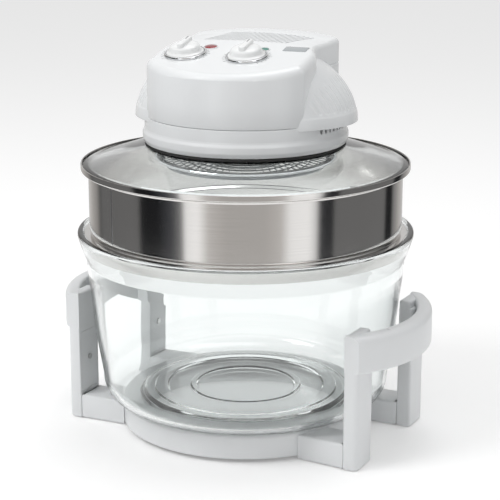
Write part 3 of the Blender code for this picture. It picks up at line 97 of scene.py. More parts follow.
def add_object(name, mesh, material, body, slot, stands_for=(), place=None, sharp=38):
    if place is not None:
        mesh.transform(place)
    bm = bmesh.new()
    bm.from_mesh(mesh)
    bmesh.ops.remove_doubles(bm, verts=bm.verts[:], dist=1e-7)
    bmesh.ops.recalc_face_normals(bm, faces=bm.faces[:])
    bm.to_mesh(mesh)
    bm.free()
    mesh.shade_smooth()
    mesh.set_sharp_from_angle(angle=math.radians(sharp))
    mesh.materials.clear()
    mesh.materials.append(material)
    obj = bpy.data.objects.new(name, mesh)
    bpy.context.scene.collection.objects.link(obj)
    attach(obj, body)
    if stands_for:
        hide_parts(*stands_for)
    return obj


def mesh_of(name, verts, faces):
    mesh = bpy.data.meshes.new(name)
    mesh.from_pydata([tuple(v) for v in verts], [], faces)
    return mesh


def band_faces(levels, count):
    """Quads between closed rows of count points, each row one level."""
    faces = []
    for level in range(levels - 1):
        low, high = level * count, (level + 1) * count
        for i in range(count):
            after = (i + 1) % count
            faces.append([low + i, low + after, high + after, high + i])
    return faces


def mesh_from(name, bm):
    mesh = bpy.data.meshes.new(name)
    bm.to_mesh(mesh)
    bm.free()
    return mesh


def evaluated_mesh(obj):
    graph = bpy.context.evaluated_depsgraph_get()
    return bpy.data.meshes.new_from_object(obj.evaluated_get(graph))


def lathe_mesh(name, profile, closed=True, steps=FINE):
    """A profile of (radius, height) points turned round Z."""
    verts, rows = [], []
    for radius, height in profile:
        if radius < 1e-6:
            rows.append([len(verts)] * steps)
            verts.append((0, 0, height))
            continue
        rows.append(list(range(len(verts), len(verts) + steps)))
        for step in range(steps):
            angle = math.tau * step / steps
            verts.append((radius * math.cos(angle), radius * math.sin(angle), height))
    faces = []
    for first, second in zip(rows, rows[1:] + rows[:1] if closed else rows[1:]):
        for step in range(steps):
            after = (step + 1) % steps
            ring = [first[step], first[after], second[after], second[step]]
            ring = list(dict.fromkeys(ring))
            if len(ring) > 2:
                faces.append(ring)
    return mesh_of(name, verts, faces)


def lathe(name, profile, material, body, slot, stands_for=(), place=None, **options):
    mesh = lathe_mesh(name, profile, options.pop("closed", True), options.pop("steps", FINE))
    return add_object(name, mesh, material, body, slot, stands_for, place, **options)


def prism_mesh(name, outline, bottom, top):
    count = len(outline)
    verts = [(x, y, bottom) for x, y in outline] + [(x, y, top) for x, y in outline]
    caps = [list(range(count)), list(range(count, 2 * count))]
    return mesh_of(name, verts, caps + band_faces(2, count))


def soft_prism_mesh(name, outline, bottom, top, edge, steps=3):
    """A prism with rounded rims: the outline is drawn in near its bottom and top."""
    count = len(outline)
    centre = sum((Vector(p) for p in outline), Vector((0, 0))) / count
    normals = []
    for i in range(count):
        along = Vector(outline[(i + 1) % count]) - Vector(outline[i - 1])
        normal = Vector((along.y, -along.x)).normalized()
        if normal.dot(Vector(outline[i]) - centre) < 0:
            normal.negate()
        normals.append(normal)
    verts = []
    angles = [math.pi / 2 * (1 - k / steps) for k in range(steps + 1)]
    levels = [(bottom + edge * (1 - math.sin(a)), edge * (1 - math.cos(a))) for a in angles]
    levels += [(top - (z - bottom), inset) for z, inset in reversed(levels)]
    for z, inset in levels:
        for point, normal in zip(outline, normals):
            spot = Vector(point) - normal * inset
            verts.append((spot.x, spot.y, z))
    caps = [list(range(count)), list(range(len(verts) - count, len(verts)))]
    return mesh_of(name, verts, band_faces(len(levels), count) + caps)


def helper(mesh):
    obj = bpy.data.objects.new("helper", mesh)
    bpy.context.scene.collection.objects.link(obj)
    return obj


def apply_modifiers(obj, sharp=38):
    mesh = evaluated_mesh(obj)
    obj.modifiers.clear()
    obj.data = mesh
    mesh.shade_smooth()
    mesh.set_sharp_from_angle(angle=math.radians(sharp))


def carve(obj, meshes, operation="DIFFERENCE", sharp=38):
    """Cuts the meshes from the object, or joins them to it, and keeps the result."""
    others = []
    for mesh in meshes:
        bm = bmesh.new()
        bm.from_mesh(mesh)
        bmesh.ops.recalc_face_normals(bm, faces=bm.faces[:])
        bm.to_mesh(mesh)
        bm.free()
        others.append(helper(mesh))
        modifier = obj.modifiers.new("carve", "BOOLEAN")
        modifier.operation = operation
        modifier.object = others[-1]
        modifier.solver = "MANIFOLD"
    bpy.context.view_layer.update()
    apply_modifiers(obj, sharp)
    for other in others:
        bpy.data.objects.remove(other, do_unlink=True)


def joined_mesh(name, meshes):
    bm = bmesh.new()
    for mesh in meshes:
        bm.from_mesh(mesh)
    return mesh_from(name, bm)


def trimmed(name, mesh, planes, closed=False):
    """The mesh without what lies beyond the planes, given as (point, normal). closed fills the cuts."""
    bm = bmesh.new()
    bm.from_mesh(mesh)
    for point, normal in planes:
        geometry = bm.verts[:] + bm.edges[:] + bm.faces[:]
        found = bmesh.ops.bisect_plane(
            bm, geom=geometry, plane_co=point, plane_no=normal, clear_outer=True, dist=1e-6
        )
        if closed:
            rim = [item for item in found["geom_cut"] if isinstance(item, bmesh.types.BMEdge)]
            bmesh.ops.holes_fill(bm, edges=rim)
    return mesh_from(name, bm)


def arc(centre, radius, start, end, steps):
    angles = [math.radians(start + (end - start) * k / steps) for k in range(steps + 1)]
    return [(centre[0] + radius * math.cos(a), centre[1] + radius * math.sin(a)) for a in angles]


# Materials


class Nodes:
    """A material under construction: its tree, its Principled shader and the object's own coordinates."""

    def __init__(self, name, colour, roughness, metallic=0.0):
        self.material = bpy.data.materials.new(name)
        self.material.use_nodes = True
        self.tree = self.material.node_tree
        self.shader = self.tree.nodes["Principled BSDF"]
        self.shader.inputs["Base Color"].default_value = (*colour, 1.0)
        self.shader.inputs["Roughness"].default_value = roughness
        self.shader.inputs["Metallic"].default_value = metallic
        self.material.diffuse_color = (*colour, 1.0)
        self.colour = colour
        self.roughness = roughness
        self.coordinates = self.add("ShaderNodeTexCoord").outputs["Object"]

    def add(self, kind, **values):
        node = self.tree.nodes.new(kind)
        for key, value in values.items():
            setattr(node, key, value)
        return node

    def link(self, out, socket):
        self.tree.links.new(out, socket)

    def turned(self, around, up):
        """Coordinates round the object's Z axis: the angle as a length, and the height, each scaled."""
        split = self.add("ShaderNodeSeparateXYZ")
        self.link(self.coordinates, split.inputs[0])
        angle = self.add("ShaderNodeMath", operation="ARCTAN2")
        self.link(split.outputs["Y"], angle.inputs[0])
        self.link(split.outputs["X"], angle.inputs[1])
        wide = self.add("ShaderNodeMath", operation="MULTIPLY")
        self.link(angle.outputs[0], wide.inputs[0])
        wide.inputs[1].default_value = around
        tall = self.add("ShaderNodeMath", operation="MULTIPLY")
        self.link(split.outputs["Z"], tall.inputs[0])
        tall.inputs[1].default_value = up
        both = self.add("ShaderNodeCombineXYZ")
        self.link(wide.outputs[0], both.inputs["X"])
        self.link(tall.outputs[0], both.inputs["Z"])
        return both.outputs[0]

    def noise(self, scale, detail=3.0, vector=None):
        node = self.add("ShaderNodeTexNoise")
        node.inputs["Scale"].default_value = scale
        node.inputs["Detail"].default_value = detail
        self.link(vector or self.coordinates, node.inputs["Vector"])
        return node.outputs["Fac"]

    def vary_colour(self, fac, amount):
        ramp = self.add("ShaderNodeValToRGB")
        low = [max(0, c * (1 - amount)) for c in self.colour]
        high = [min(1, c * (1 + amount)) for c in self.colour]
        ramp.color_ramp.elements[0].color = (*low, 1)
        ramp.color_ramp.elements[1].color = (*high, 1)
        ramp.color_ramp.elements[0].position = 0.3
        ramp.color_ramp.elements[1].position = 0.7
        self.link(fac, ramp.inputs[0])
        self.link(ramp.outputs[0], self.shader.inputs["Base Color"])

    def vary_roughness(self, fac, amount):
        spread = self.add("ShaderNodeMapRange")
        spread.inputs["To Min"].default_value = self.roughness - amount
        spread.inputs["To Max"].default_value = self.roughness + amount
        self.link(fac, spread.inputs["Value"])
        self.link(spread.outputs["Result"], self.shader.inputs["Roughness"])

    def bump(self, fac, strength, distance=0.0002):
        node = self.add("ShaderNodeBump")
        node.inputs["Strength"].default_value = strength
        node.inputs["Distance"].default_value = distance
        self.link(fac, node.inputs["Height"])
        self.link(node.outputs["Normal"], self.shader.inputs["Normal"])


def plastic(name, colour, roughness=0.30, grain=0.06, coat=0.0):
    """Injection-moulded plastic: faint flow marks in the colour and a fine orange-peel skin."""
    nodes = Nodes(name, colour, roughness)
    nodes.vary_colour(nodes.noise(9, 4), 0.012)
    nodes.vary_roughness(nodes.noise(60, 3), 0.05)
    nodes.bump(nodes.noise(900, 2), grain)
    nodes.shader.inputs["Coat Weight"].default_value = coat
    nodes.shader.inputs["Coat Roughness"].default_value = 0.12
    return nodes.material


def brushed(name, colour, roughness, around, up, strength=0.10, spread=0.05):
    """Metal brushed round the Z axis: fine lines that run round, with faint bands."""
    nodes = Nodes(name, colour, roughness, 1.0)
    lines = nodes.noise(1.0, 6, nodes.turned(around, up))
    nodes.vary_colour(lines, 0.06)
    nodes.vary_roughness(lines, spread)
    nodes.bump(lines, strength, 0.00005)
    return nodes.material


def metal(name, colour, roughness, scale=140, amount=0.05, spread=0.06, strength=0.06):
    """Pressed or polished metal with a faint cloud in its colour and gloss."""
    nodes = Nodes(name, colour, roughness, 1.0)
    cloud = nodes.noise(scale, 4)
    nodes.vary_colour(cloud, amount)
    nodes.vary_roughness(cloud, spread)
    nodes.bump(nodes.noise(scale * 5, 2), strength)
    return nodes.material


def glass(name, colour, wave=0.05, roughness=0.0, index=1.5):
    """Pressed glass: clear and faintly tinted, with slight waves in its skin."""
    nodes = Nodes(name, colour, roughness)
    nodes.shader.inputs["Transmission Weight"].default_value = 1.0
    nodes.shader.inputs["IOR"].default_value = index
    nodes.bump(nodes.noise(14, 2), wave, 0.002)
    return nodes.material


def banded(name, colour, dark, scale, axis, metallic, roughness):
    """Layers across one axis: sheet edges, windings or ribs."""
    nodes = Nodes(name, colour, roughness, metallic)
    wave = nodes.add("ShaderNodeTexWave", wave_type="BANDS", bands_direction=axis)
    wave.inputs["Scale"].default_value = scale
    wave.inputs["Distortion"].default_value = 0.6
    wave.inputs["Detail"].default_value = 2
    nodes.link(nodes.coordinates, wave.inputs["Vector"])
    ramp = nodes.add("ShaderNodeValToRGB")
    ramp.color_ramp.elements[0].color = (*dark, 1)
    ramp.color_ramp.elements[1].color = (*colour, 1)
    nodes.link(wave.outputs["Fac"], ramp.inputs[0])
    nodes.link(ramp.outputs[0], nodes.shader.inputs["Base Color"])
    nodes.bump(wave.outputs["Fac"], 0.3)
    return nodes.material


WHITE = plastic("white_moulding", (0.83, 0.845, 0.855), 0.30)
HEAD_WHITE = plastic("head_moulding", (0.83, 0.845, 0.855), 0.24, 0.04, coat=0.25)
KNOB_WHITE = plastic("knob_moulding", (0.85, 0.86, 0.86), 0.20, 0.03, coat=0.3)
# Dark moulding of the timer and thermostat bodies; behind the vent slots the same dark is painted shade
DARK = plastic("switch_moulding_and_vent_shade", (0.035, 0.035, 0.038), 0.5, 0.2)
INK = plastic("dial_print", (0.16, 0.16, 0.17), 0.5, 0.02)
RUBBER = plastic("matt_rubber", (0.03, 0.03, 0.03), 0.75, 0.35)
CERAMIC = plastic("unglazed_ceramic", (0.72, 0.70, 0.64), 0.6, 0.35)
SHELL_STEEL = brushed("ring_steel", (0.70, 0.685, 0.67), 0.13, 2.0, 5200)
# Darkened steel: painted shade for the dim inside of the guard basket; the ring's weld bead shares it as
# its own dark colour
GUARD_PAINTED_SHADE_AND_WELD_STEEL = metal("guard_painted_shade_and_weld_steel", (0.30, 0.31, 0.32), 0.30)
# Darkened steel: painted shade for the dim inside under the glass
SHIELD_PAINTED_SHADE_STEEL = metal("shield_painted_shade_steel", (0.42, 0.42, 0.42), 0.28)
PLAIN_STEEL = metal("plain_steel", (0.56, 0.56, 0.56), 0.32)
CHROME = metal("polished_chrome", (0.80, 0.81, 0.82), 0.07, 60, 0.02, 0.03, 0.01)
BRASS = metal("bush_brass", (0.66, 0.47, 0.20), 0.35)
COPPER = banded("winding_copper", (0.55, 0.22, 0.09), (0.22, 0.07, 0.03), 420, "X", 0.8, 0.4)
STACK = banded("stack_sheets", (0.38, 0.38, 0.39), (0.16, 0.15, 0.15), 300, "Z", 0.9, 0.45)
CLEAR = glass("bowl_glass", (0.955, 0.975, 0.972))
LID_CLEAR = glass("lid_glass", (0.93, 0.955, 0.955), 0.03)
LAMP_CLEAR = glass("lamp_quartz", (0.93, 0.92, 0.88), 0.02, 0.15)


def lens(name, colour):
    """Clear coloured plastic with fine rings moulded into it."""
    nodes = Nodes(name, colour, 0.12)
    nodes.shader.inputs["Transmission Weight"].default_value = 0.25
    nodes.shader.inputs["Coat Weight"].default_value = 0.5
    wave = nodes.add("ShaderNodeTexWave", wave_type="RINGS", rings_direction="Z")
    wave.inputs["Scale"].default_value = 260
    nodes.link(nodes.coordinates, wave.inputs["Vector"])
    nodes.vary_colour(wave.outputs["Fac"], 0.35)
    nodes.bump(wave.outputs["Fac"], 0.2)
    return nodes.material


RED = lens("red_pilot", (0.33, 0.012, 0.02))
GREEN = lens("green_pilot", (0.01, 0.23, 0.17))
SMOKED = plastic("inlaid_window", (0.36, 0.385, 0.40), 0.16, 0.02, coat=0.6)


# Stand

BASE_RADIUS = 0.1235
BASE_INNER = 0.098
BASE_TOP = 0.028
ARM_BOTTOM = 0.001
ARM_TOP = 0.0255
POST_INNER_X = 0.1455
POST_OUTER_X = 0.160
POST_Y = (0.048, 0.082)
GRIP_CENTRE_X = 0.063
GRIP_RADIUS = 0.127
GRIP_THICKNESS = 0.015
GRIP_Z = (0.096, 0.132)
GRIP_ROUND = 0.010
GRIP_STEPS = 72
BASE_BOTTOM = 0.004
BASE_WALL = 0.003
BASE_LIP_RADIUS = 0.1015
BASE_LIP_HEIGHT = 0.003
ARM_START = 0.097
ARM_Y = (0.0439, 0.0781)
ARM_SPLAY = math.radians(3.66)
ARM_EDGE = 0.0022
POST_SHOULDER = 0.1245
POST_HEAD_BOTTOM = 0.11
POST_WALL = 0.003
POCKET_TOP = 0.091


def make_base():
    """The ring under the bowl with its four splayed arms."""
    profile = fillet(
        [
            (BASE_LIP_RADIUS, BASE_TOP + BASE_LIP_HEIGHT),
            (BASE_LIP_RADIUS, BASE_TOP),
            (BASE_RADIUS, BASE_TOP),
            (BASE_RADIUS, BASE_BOTTOM),
            (BASE_RADIUS - BASE_WALL, BASE_BOTTOM),
            (BASE_RADIUS - BASE_WALL, BASE_TOP - BASE_WALL),
            (BASE_INNER + BASE_WALL, BASE_TOP - BASE_WALL),
            (BASE_INNER + BASE_WALL, BASE_BOTTOM),
            (BASE_INNER, BASE_BOTTOM),
            (BASE_INNER, BASE_TOP + BASE_LIP_HEIGHT),
        ],
        [0.0008, 0.0006, 0.0045, 0.0008, 0.0008, 0, 0, 0.0008, 0.0008, 0.0008],
    )
    base = lathe("stand_base", profile, WHITE, "stand", "white_plastic", ["base_frame"])
    arms = []
    start, end = ARM_START, POST_INNER_X - GAP
    spread = (end - start) * math.tan(ARM_SPLAY)
    inner_y, outer_y = ARM_Y
    for x_sign in (-1, 1):
        for y_sign in (-1, 1):
            outline = [
                (start * x_sign, inner_y * y_sign),
                (end * x_sign, (inner_y + spread) * y_sign),
                (end * x_sign, (outer_y + spread) * y_sign),
                (start * x_sign, outer_y * y_sign),
            ]
            outline = fillet(outline, [0.0, 0.0008, 0.0008, 0.0])
            arms.append(soft_prism_mesh("arm", outline, ARM_BOTTOM, ARM_TOP, ARM_EDGE))
    carve(base, arms, "UNION", 32)


def grip_mesh():
    """The bowed grip, its section swept round a centre on the X axis."""
    inner = GRIP_RADIUS - GRIP_THICKNESS
    section = fillet(
        [(inner, GRIP_Z[1]), (GRIP_RADIUS, GRIP_Z[1]), (GRIP_RADIUS, GRIP_Z[0]), (inner, GRIP_Z[0])],
        [0.0035, GRIP_ROUND, 0.0035, 0.0025],
        7,
    )
    beyond_posts = 0.02
    half = math.asin(POST_Y[1] / inner) + beyond_posts
    verts = []
    for step in range(GRIP_STEPS + 1):
        angle = half * (2 * step / GRIP_STEPS - 1)
        for radius, z in section:
            verts.append((GRIP_CENTRE_X + radius * math.cos(angle), radius * math.sin(angle), z))
    count = len(section)
    caps = [list(range(count)), list(range(len(verts) - count, len(verts)))]
    mesh = mesh_of("grip", verts, band_faces(GRIP_STEPS + 1, count) + caps)
    planes = (
        ((0, POST_Y[1], 0), (0, 1, 0)),
        ((0, -POST_Y[1], 0), (0, -1, 0)),
        ((POST_INNER_X, 0, 0), (-1, 0, 0)),
    )
    return trimmed("grip", mesh, planes, closed=True)


def make_handles():
    """Both carrying handles: the grip, its two posts, the corners between them and the posts' pockets."""
    pocket_z = (ARM_TOP + POST_WALL, POCKET_TOP)
    for side, turn in (("right", 0.0), ("left", math.pi)):
        place = Matrix.Rotation(turn, 4, "Z")
        handle = add_object(
            side + "_grip", grip_mesh(), WHITE, "stand", "white_plastic", [side + "_handle"], None, 32
        )
        additions, pockets = [], []
        for y_sign in (-1, 1):
            y0, y1 = (y * y_sign for y in POST_Y)
            outline = [(POST_INNER_X, y0), (POST_OUTER_X, y0), (POST_OUTER_X, y1), (POST_INNER_X, y1)]
            outline = fillet(outline, [0.0012, 0.003, 0.0085, 0.0015], 6)
            additions.append(soft_prism_mesh("post", outline, ARM_BOTTOM, POST_SHOULDER, 0.0016))
            inner = GRIP_RADIUS - GRIP_THICKNESS + 0.002
            outer_x = POST_OUTER_X - 0.0025
            corner = [
                (POST_INNER_X, y0),
                (POST_INNER_X, y_sign * math.sqrt(inner**2 - (POST_INNER_X - GRIP_CENTRE_X) ** 2)),
                (outer_x, y_sign * math.sqrt(inner**2 - (outer_x - GRIP_CENTRE_X) ** 2)),
                (outer_x, y0),
            ]
            corner = fillet(corner, [0.002, 0, 0, 0.003], 5)
            head_top = GRIP_Z[1] - 0.0004
            additions.append(soft_prism_mesh("post_head", corner, POST_HEAD_BOTTOM, head_top, 0.0022, 4))
            low, high = sorted((y0, y1))
            low, high = low + POST_WALL, high - POST_WALL
            front, back = POST_INNER_X - 0.002, 0.157
            box = [(front, low), (back, low), (back, high), (front, high)]
            pockets.append(prism_mesh("pocket", box, *pocket_z))
        carve(handle, additions, "UNION", 32)
        carve(handle, pockets, "DIFFERENCE", 32)
        handle.data.transform(place)


# Bowl and ring

BOWL_FOOT_Z = 0.0283
BOWL_TOP = 0.200
RING_SHEET = 0.0011
RING_SEAT = 0.1968
RING_LEDGE = 0.2623
RING_SEAM_ANGLE = math.radians(-90 - 26.2)


def make_bowl():
    """The bowl's section from the middle of its foot up over the lip and back down inside."""
    outer = [
        (0, 0.0323), (0.102, 0.0323), (0.1040, BOWL_FOOT_Z), (0.119, BOWL_FOOT_Z),
    ]
    corner = arc((0.119, 0.0523), 0.024, -86, 6, 14)
    wall = [(0.1465, 0.0765), (0.1504, 0.102), (0.1533, 0.133), (0.1565, 0.160), (0.1572, 0.172),
            (0.1605, 0.181), (0.1653, 0.1957)]
    top = [(0.1653, BOWL_TOP), (0.1595, BOWL_TOP), (0.1595, 0.1965), (0.1520, 0.1965)]
    inside = [(0.1520, 0.172), (0.1515, 0.160), (0.1483, 0.133), (0.1454, 0.102), (0.1415, 0.0765)]
    inner_corner = arc((0.119, 0.0523), 0.019, 6, -84, 14)
    # Low moulded steps run round the bottom
    steps = [
        (0.1065, 0.0336), (0.1000, 0.0377), (0.0920, 0.0377), (0.0905, 0.0386), (0.0790, 0.0386),
        (0.0775, 0.0377), (0.0560, 0.0377), (0.0545, 0.0385), (0.0500, 0.0385), (0.0485, 0.0377),
        (0, 0.0377),
    ]
    profile = outer + corner + wall + top + inside + inner_corner + steps
    radii = [0, 0.001, 0.0015, 0.004] + [0] * len(corner)
    radii += [0.02, 0.03, 0.03, 0.010, 0.006, 0.006, 0.0025]
    radii += [0.0020, 0.0010, 0.0004, 0.0008]
    radii += [0.006, 0.010, 0.03, 0.03, 0.02] + [0] * len(inner_corner)
    radii += [0.002, 0.002, 0.0006, 0.0006, 0.0006, 0.0006, 0.0006, 0.0006, 0.0006, 0.0006, 0]
    lathe("bowl", fillet(profile, radii, 4, closed=False), CLEAR, "bowl", "clear_glass", ["glass_bowl"],
          closed=False, steps=200, sharp=60)


def make_ring():
    """The steel ring: a foot that hooks into the bowl's lip, its wall, and a stepped rim for the lid."""
    sheet, seat, ledge = RING_SHEET, RING_SEAT, RING_LEDGE
    profile = [
        (0.1608, ledge + 0.0052), (0.1608, ledge), (0.1597, ledge - sheet), (0.1546, ledge - sheet),
        (0.1535, ledge - 0.0039), (0.1535, seat + 0.0067), (0.1517, seat + 0.0045), (0.1517, seat + 0.0022),
        (0.1582, seat + 0.0022), (0.1588, seat + 0.0011), (0.1582, seat), (0.1506, seat),
        (0.1506, seat - 0.0105), (0.1495, seat - 0.0105), (0.1495, seat + 0.0045), (0.1524, seat + 0.0073),
        (0.1524, ledge - 0.0039), (0.1535, ledge), (0.1597, ledge), (0.1597, ledge + 0.0052),
    ]
    radii = [0.0005, 0.0012, 0.0008, 0.0012, 0.0018, 0.0014, 0.0008, 0.0004, 0.0006, 0.0006, 0.0006, 0.0004,
             0.0004, 0.0004, 0.0012, 0.0014, 0.0016, 0.0010, 0.0004, 0.0005]
    lathe("extension_shell", fillet(profile, radii, 4), SHELL_STEEL, "ring", "steel", ["extension_ring"],
          steps=200, sharp=50)
    # The sheet's welded joint: a narrow flat bead up the wall
    inside, outside, half = 0.1534, 0.15375, 0.0006
    plan = fillet([(inside, -half), (outside, -half), (outside, half), (inside, half)], 0.0001, 2)
    bead = soft_prism_mesh("seam", plan, seat + 0.0085, ledge - 0.0055, 0.0002)
    turn = Matrix.Rotation(RING_SEAM_ANGLE, 4, "Z")
    add_object("ring_seam", bead, GUARD_PAINTED_SHADE_AND_WELD_STEEL, "ring", "steel", (), turn)


# Lid glass, seal, shield, guard and lamp


CONE_RADIUS = 0.152
CONE_FOOT = 0.0046
CONE_SLOPE = 0.311
CROWN_RADIUS = 0.121
GLASS_HOLE = 0.090
GLASS_THICKNESS = 0.0041


def glass_top(radius):
    return CONE_FOOT + CONE_SLOPE * (CONE_RADIUS - radius)


def make_lid_glass():
    """The conical pane with its flat rim, and the seal between its hole and the collar."""
    crown = glass_top(CROWN_RADIUS) + 0.0005
    profile = [
        (GLASS_HOLE, glass_top(GLASS_HOLE)), (CROWN_RADIUS, crown), (CONE_RADIUS, CONE_FOOT),
        (0.1565, 0.0037), (0.1586, 0.0027), (0.1586, 0.0010), (0.1576, 0), (CONE_RADIUS, 0),
        (CROWN_RADIUS, crown - GLASS_THICKNESS), (GLASS_HOLE, glass_top(GLASS_HOLE) - GLASS_THICKNESS),
    ]
    radii = [0.0006, 0.03, 0.004, 0.001, 0.0007, 0.0007, 0.0007, 0.004, 0.03, 0.0006]
    lathe("lid_glass_pane", fillet(profile, radii, 5), LID_CLEAR, "lid", "clear_glass", ["glass_lid"], LID,
          steps=200, sharp=60)
    seal = [(0.0978, SHIELD_TOP), (0.0978, glass_top(0.0978) + 0.0008), (0.0903, glass_top(0.0903) + GAP),
            (0.0903, SHIELD_TOP)]
    lathe("seal_band", fillet(seal, 0.0003, 2), RUBBER, "lid", "rubber", ["lid_seal"], LID)


def make_shield():
    """The pressed pan between the glass and the guard, its flange under the glass."""
    def under(radius):
        return glass_top(radius) - GLASS_THICKNESS - GAP

    sheet, hole, inner, outer, flange = 0.001, 0.008, 0.0882, 0.0892, 0.095
    profile = [
        (hole, SHIELD_TOP), (outer, SHIELD_TOP), (outer, under(outer)), (flange, under(flange)),
        (flange, under(flange) - sheet), (inner, under(inner) - sheet), (inner, SHIELD_TOP - sheet),
        (hole, SHIELD_TOP - sheet),
    ]
    # The pan's dark steel is painted shade
    lathe("shield_pan", fillet(profile, 0.0004, 2), SHIELD_PAINTED_SHADE_STEEL, "lid", "steel", ["heat_shield"], LID)


def perforated_mesh(name, rows, cells, sheet, margin):
    """Rows of (radius, height) rings split into cells with a rounded opening in each, as a thin sheet."""
    bm = bmesh.new()
    rings = []
    for radius, z in rows:
        ring = []
        for i in range(cells):
            angle = math.tau * i / cells
            ring.append(bm.verts.new((radius * math.cos(angle), radius * math.sin(angle), z)))
        rings.append(ring)
    made = []
    for low, high in zip(rings, rings[1:]):
        for i in range(cells):
            after = (i + 1) % cells
            made.append(bm.faces.new([low[i], low[after], high[after], high[i]]))
    bmesh.ops.inset_individual(bm, faces=made, thickness=margin, depth=0)
    bmesh.ops.delete(bm, geom=made, context="FACES")
    bmesh.ops.recalc_face_normals(bm, faces=bm.faces[:])
    obj = helper(mesh_from(name, bm))
    solid = obj.modifiers.new("sheet", "SOLIDIFY")
    solid.thickness = sheet
    solid.offset = 0
    thick = evaluated_mesh(obj)
    bpy.data.objects.remove(obj, do_unlink=True)
    return thick


GUARD_SHEET = 0.0009
GUARD_RADIUS = 0.0836
GUARD_EDGE = 0.0035
GUARD_MARGIN = 0.0011
GUARD_WALL_CELLS = 84
GUARD_PITCH = 0.0065
GUARD_HUB = 0.012
BAND_RISE = 0.0050


def make_guard():
    """The perforated basket with its plain bend and hub, and the polished band round it."""
    sheet, radius, edge = GUARD_SHEET, GUARD_RADIUS, GUARD_EDGE
    floor_z = GUARD_BOTTOM + sheet / 2
    wall = [(radius, GUARD_TOP - 0.0015 - k * 0.0055) for k in range(4)]
    bend = [(radius, GUARD_BOTTOM + edge + sheet / 2)]
    bend += [(radius - edge + edge * math.cos(a), floor_z + edge - edge * math.sin(a))
             for a in (math.radians(d) for d in (30, 60, 90))]
    meshes = [perforated_mesh("wall", wall, GUARD_WALL_CELLS, sheet, GUARD_MARGIN)]
    lip = [(0.087, GUARD_TOP), (0.087, GUARD_TOP - sheet), (radius + sheet / 2, GUARD_TOP - sheet),
           (radius + sheet / 2, GUARD_TOP - 0.0017), (radius - sheet / 2, GUARD_TOP - 0.0017),
           (radius - sheet / 2, GUARD_TOP)]
    meshes.append(lathe_mesh("lip", lip))
    straight = [wall[-1][1] + 0.0002, bend[0][1]]
    band = [(radius + sheet / 2, z) for z in straight]
    back = [(radius - sheet / 2, z) for z in straight]
    for r, z in bend[1:]:
        out = Vector((r - (radius - edge), z - (floor_z + edge))).normalized() * sheet / 2
        band.append((r + out.x, z + out.y))
        back.append((r - out.x, z - out.y))
    meshes.append(lathe_mesh("bend", band + list(reversed(back))))
    ring = radius - edge
    while ring > GUARD_HUB:
        inner = ring - GUARD_PITCH
        cells = max(8, round(math.tau * (ring - GUARD_PITCH / 2) / GUARD_PITCH))
        rows = [(ring, floor_z), (inner, floor_z)]
        meshes.append(perforated_mesh("floor", rows, cells, sheet, GUARD_MARGIN))
        ring = inner
    hub = [(0, GUARD_BOTTOM), (ring + 0.0002, GUARD_BOTTOM), (ring + 0.0002, GUARD_BOTTOM + sheet),
           (0, GUARD_BOTTOM + sheet)]
    meshes.append(lathe_mesh("hub", hub, closed=False, steps=24))
    basket = joined_mesh("guard_basket", meshes)
    # The basket's dark steel is painted shade for its dim inside
    add_object("guard_basket", basket, GUARD_PAINTED_SHADE_AND_WELD_STEEL, "lid", "steel", ["lamp_guard"], LID)
    z = GUARD_BOTTOM + BAND_RISE
    top = z + 0.0022
    ring_profile = [(0.0893, top), (0.090, z + 0.0011), (0.0893, z), (0.0843, z), (0.0843, top)]
    lathe("guard_band", fillet(ring_profile, 0.0006, 3), CHROME, "lid", "chrome", ["guard_ring"], LID)


LAMP_OPENING = math.radians(44)
LAMP_RADIUS = 0.060
LAMP_Z = 0.009682
COIL_TURNS = 150


def make_lamp():
    """The quartz ring with its heater coil inside."""
    start = math.pi / 2 + math.radians(22)
    sweep = math.tau - LAMP_OPENING
    for name, material, slot, width, gap, count, stands in (
        ("lamp_tube", LAMP_CLEAR, "lamp_glass", 0.0050, 0.0, 96, ["halogen_lamp"]),
        ("lamp_filament", PLAIN_STEEL, "steel", 0.0005, 0.0016, COIL_TURNS * 8, []),
    ):
        curve = bpy.data.curves.new(name, "CURVE")
        curve.dimensions = "3D"
        curve.bevel_depth = width
        curve.bevel_resolution = 5 if gap == 0 else 1
        curve.use_fill_caps = True
        spline = curve.splines.new("POLY")
        spline.points.add(count - 1)
        for i, point in enumerate(spline.points):
            share = i / (count - 1)
            angle = start + sweep * share
            twist = math.tau * COIL_TURNS * share
            reach = LAMP_RADIUS + gap * math.cos(twist)
            height = LAMP_Z + gap * math.sin(twist)
            spot = LID @ Vector((reach * math.cos(angle), reach * math.sin(angle), height))
            point.co = (*spot, 1)
        made = helper(curve)
        mesh = evaluated_mesh(made)
        bpy.data.objects.remove(made, do_unlink=True)
        add_object(name, mesh, material, "lid", slot, stands)


# Collar with its vent slots

COLLAR_RADIUS = 0.100
COLLAR_TOP_RADIUS = 0.098
COLLAR_INSIDE = 0.0955
COLLAR_HOLE = 0.012
VENT_HALF_WIDTH = 0.0016
VENT_DEPTH = 0.0087
VENT_PITCH = math.radians(3.9)
VENT_COUNT = 13


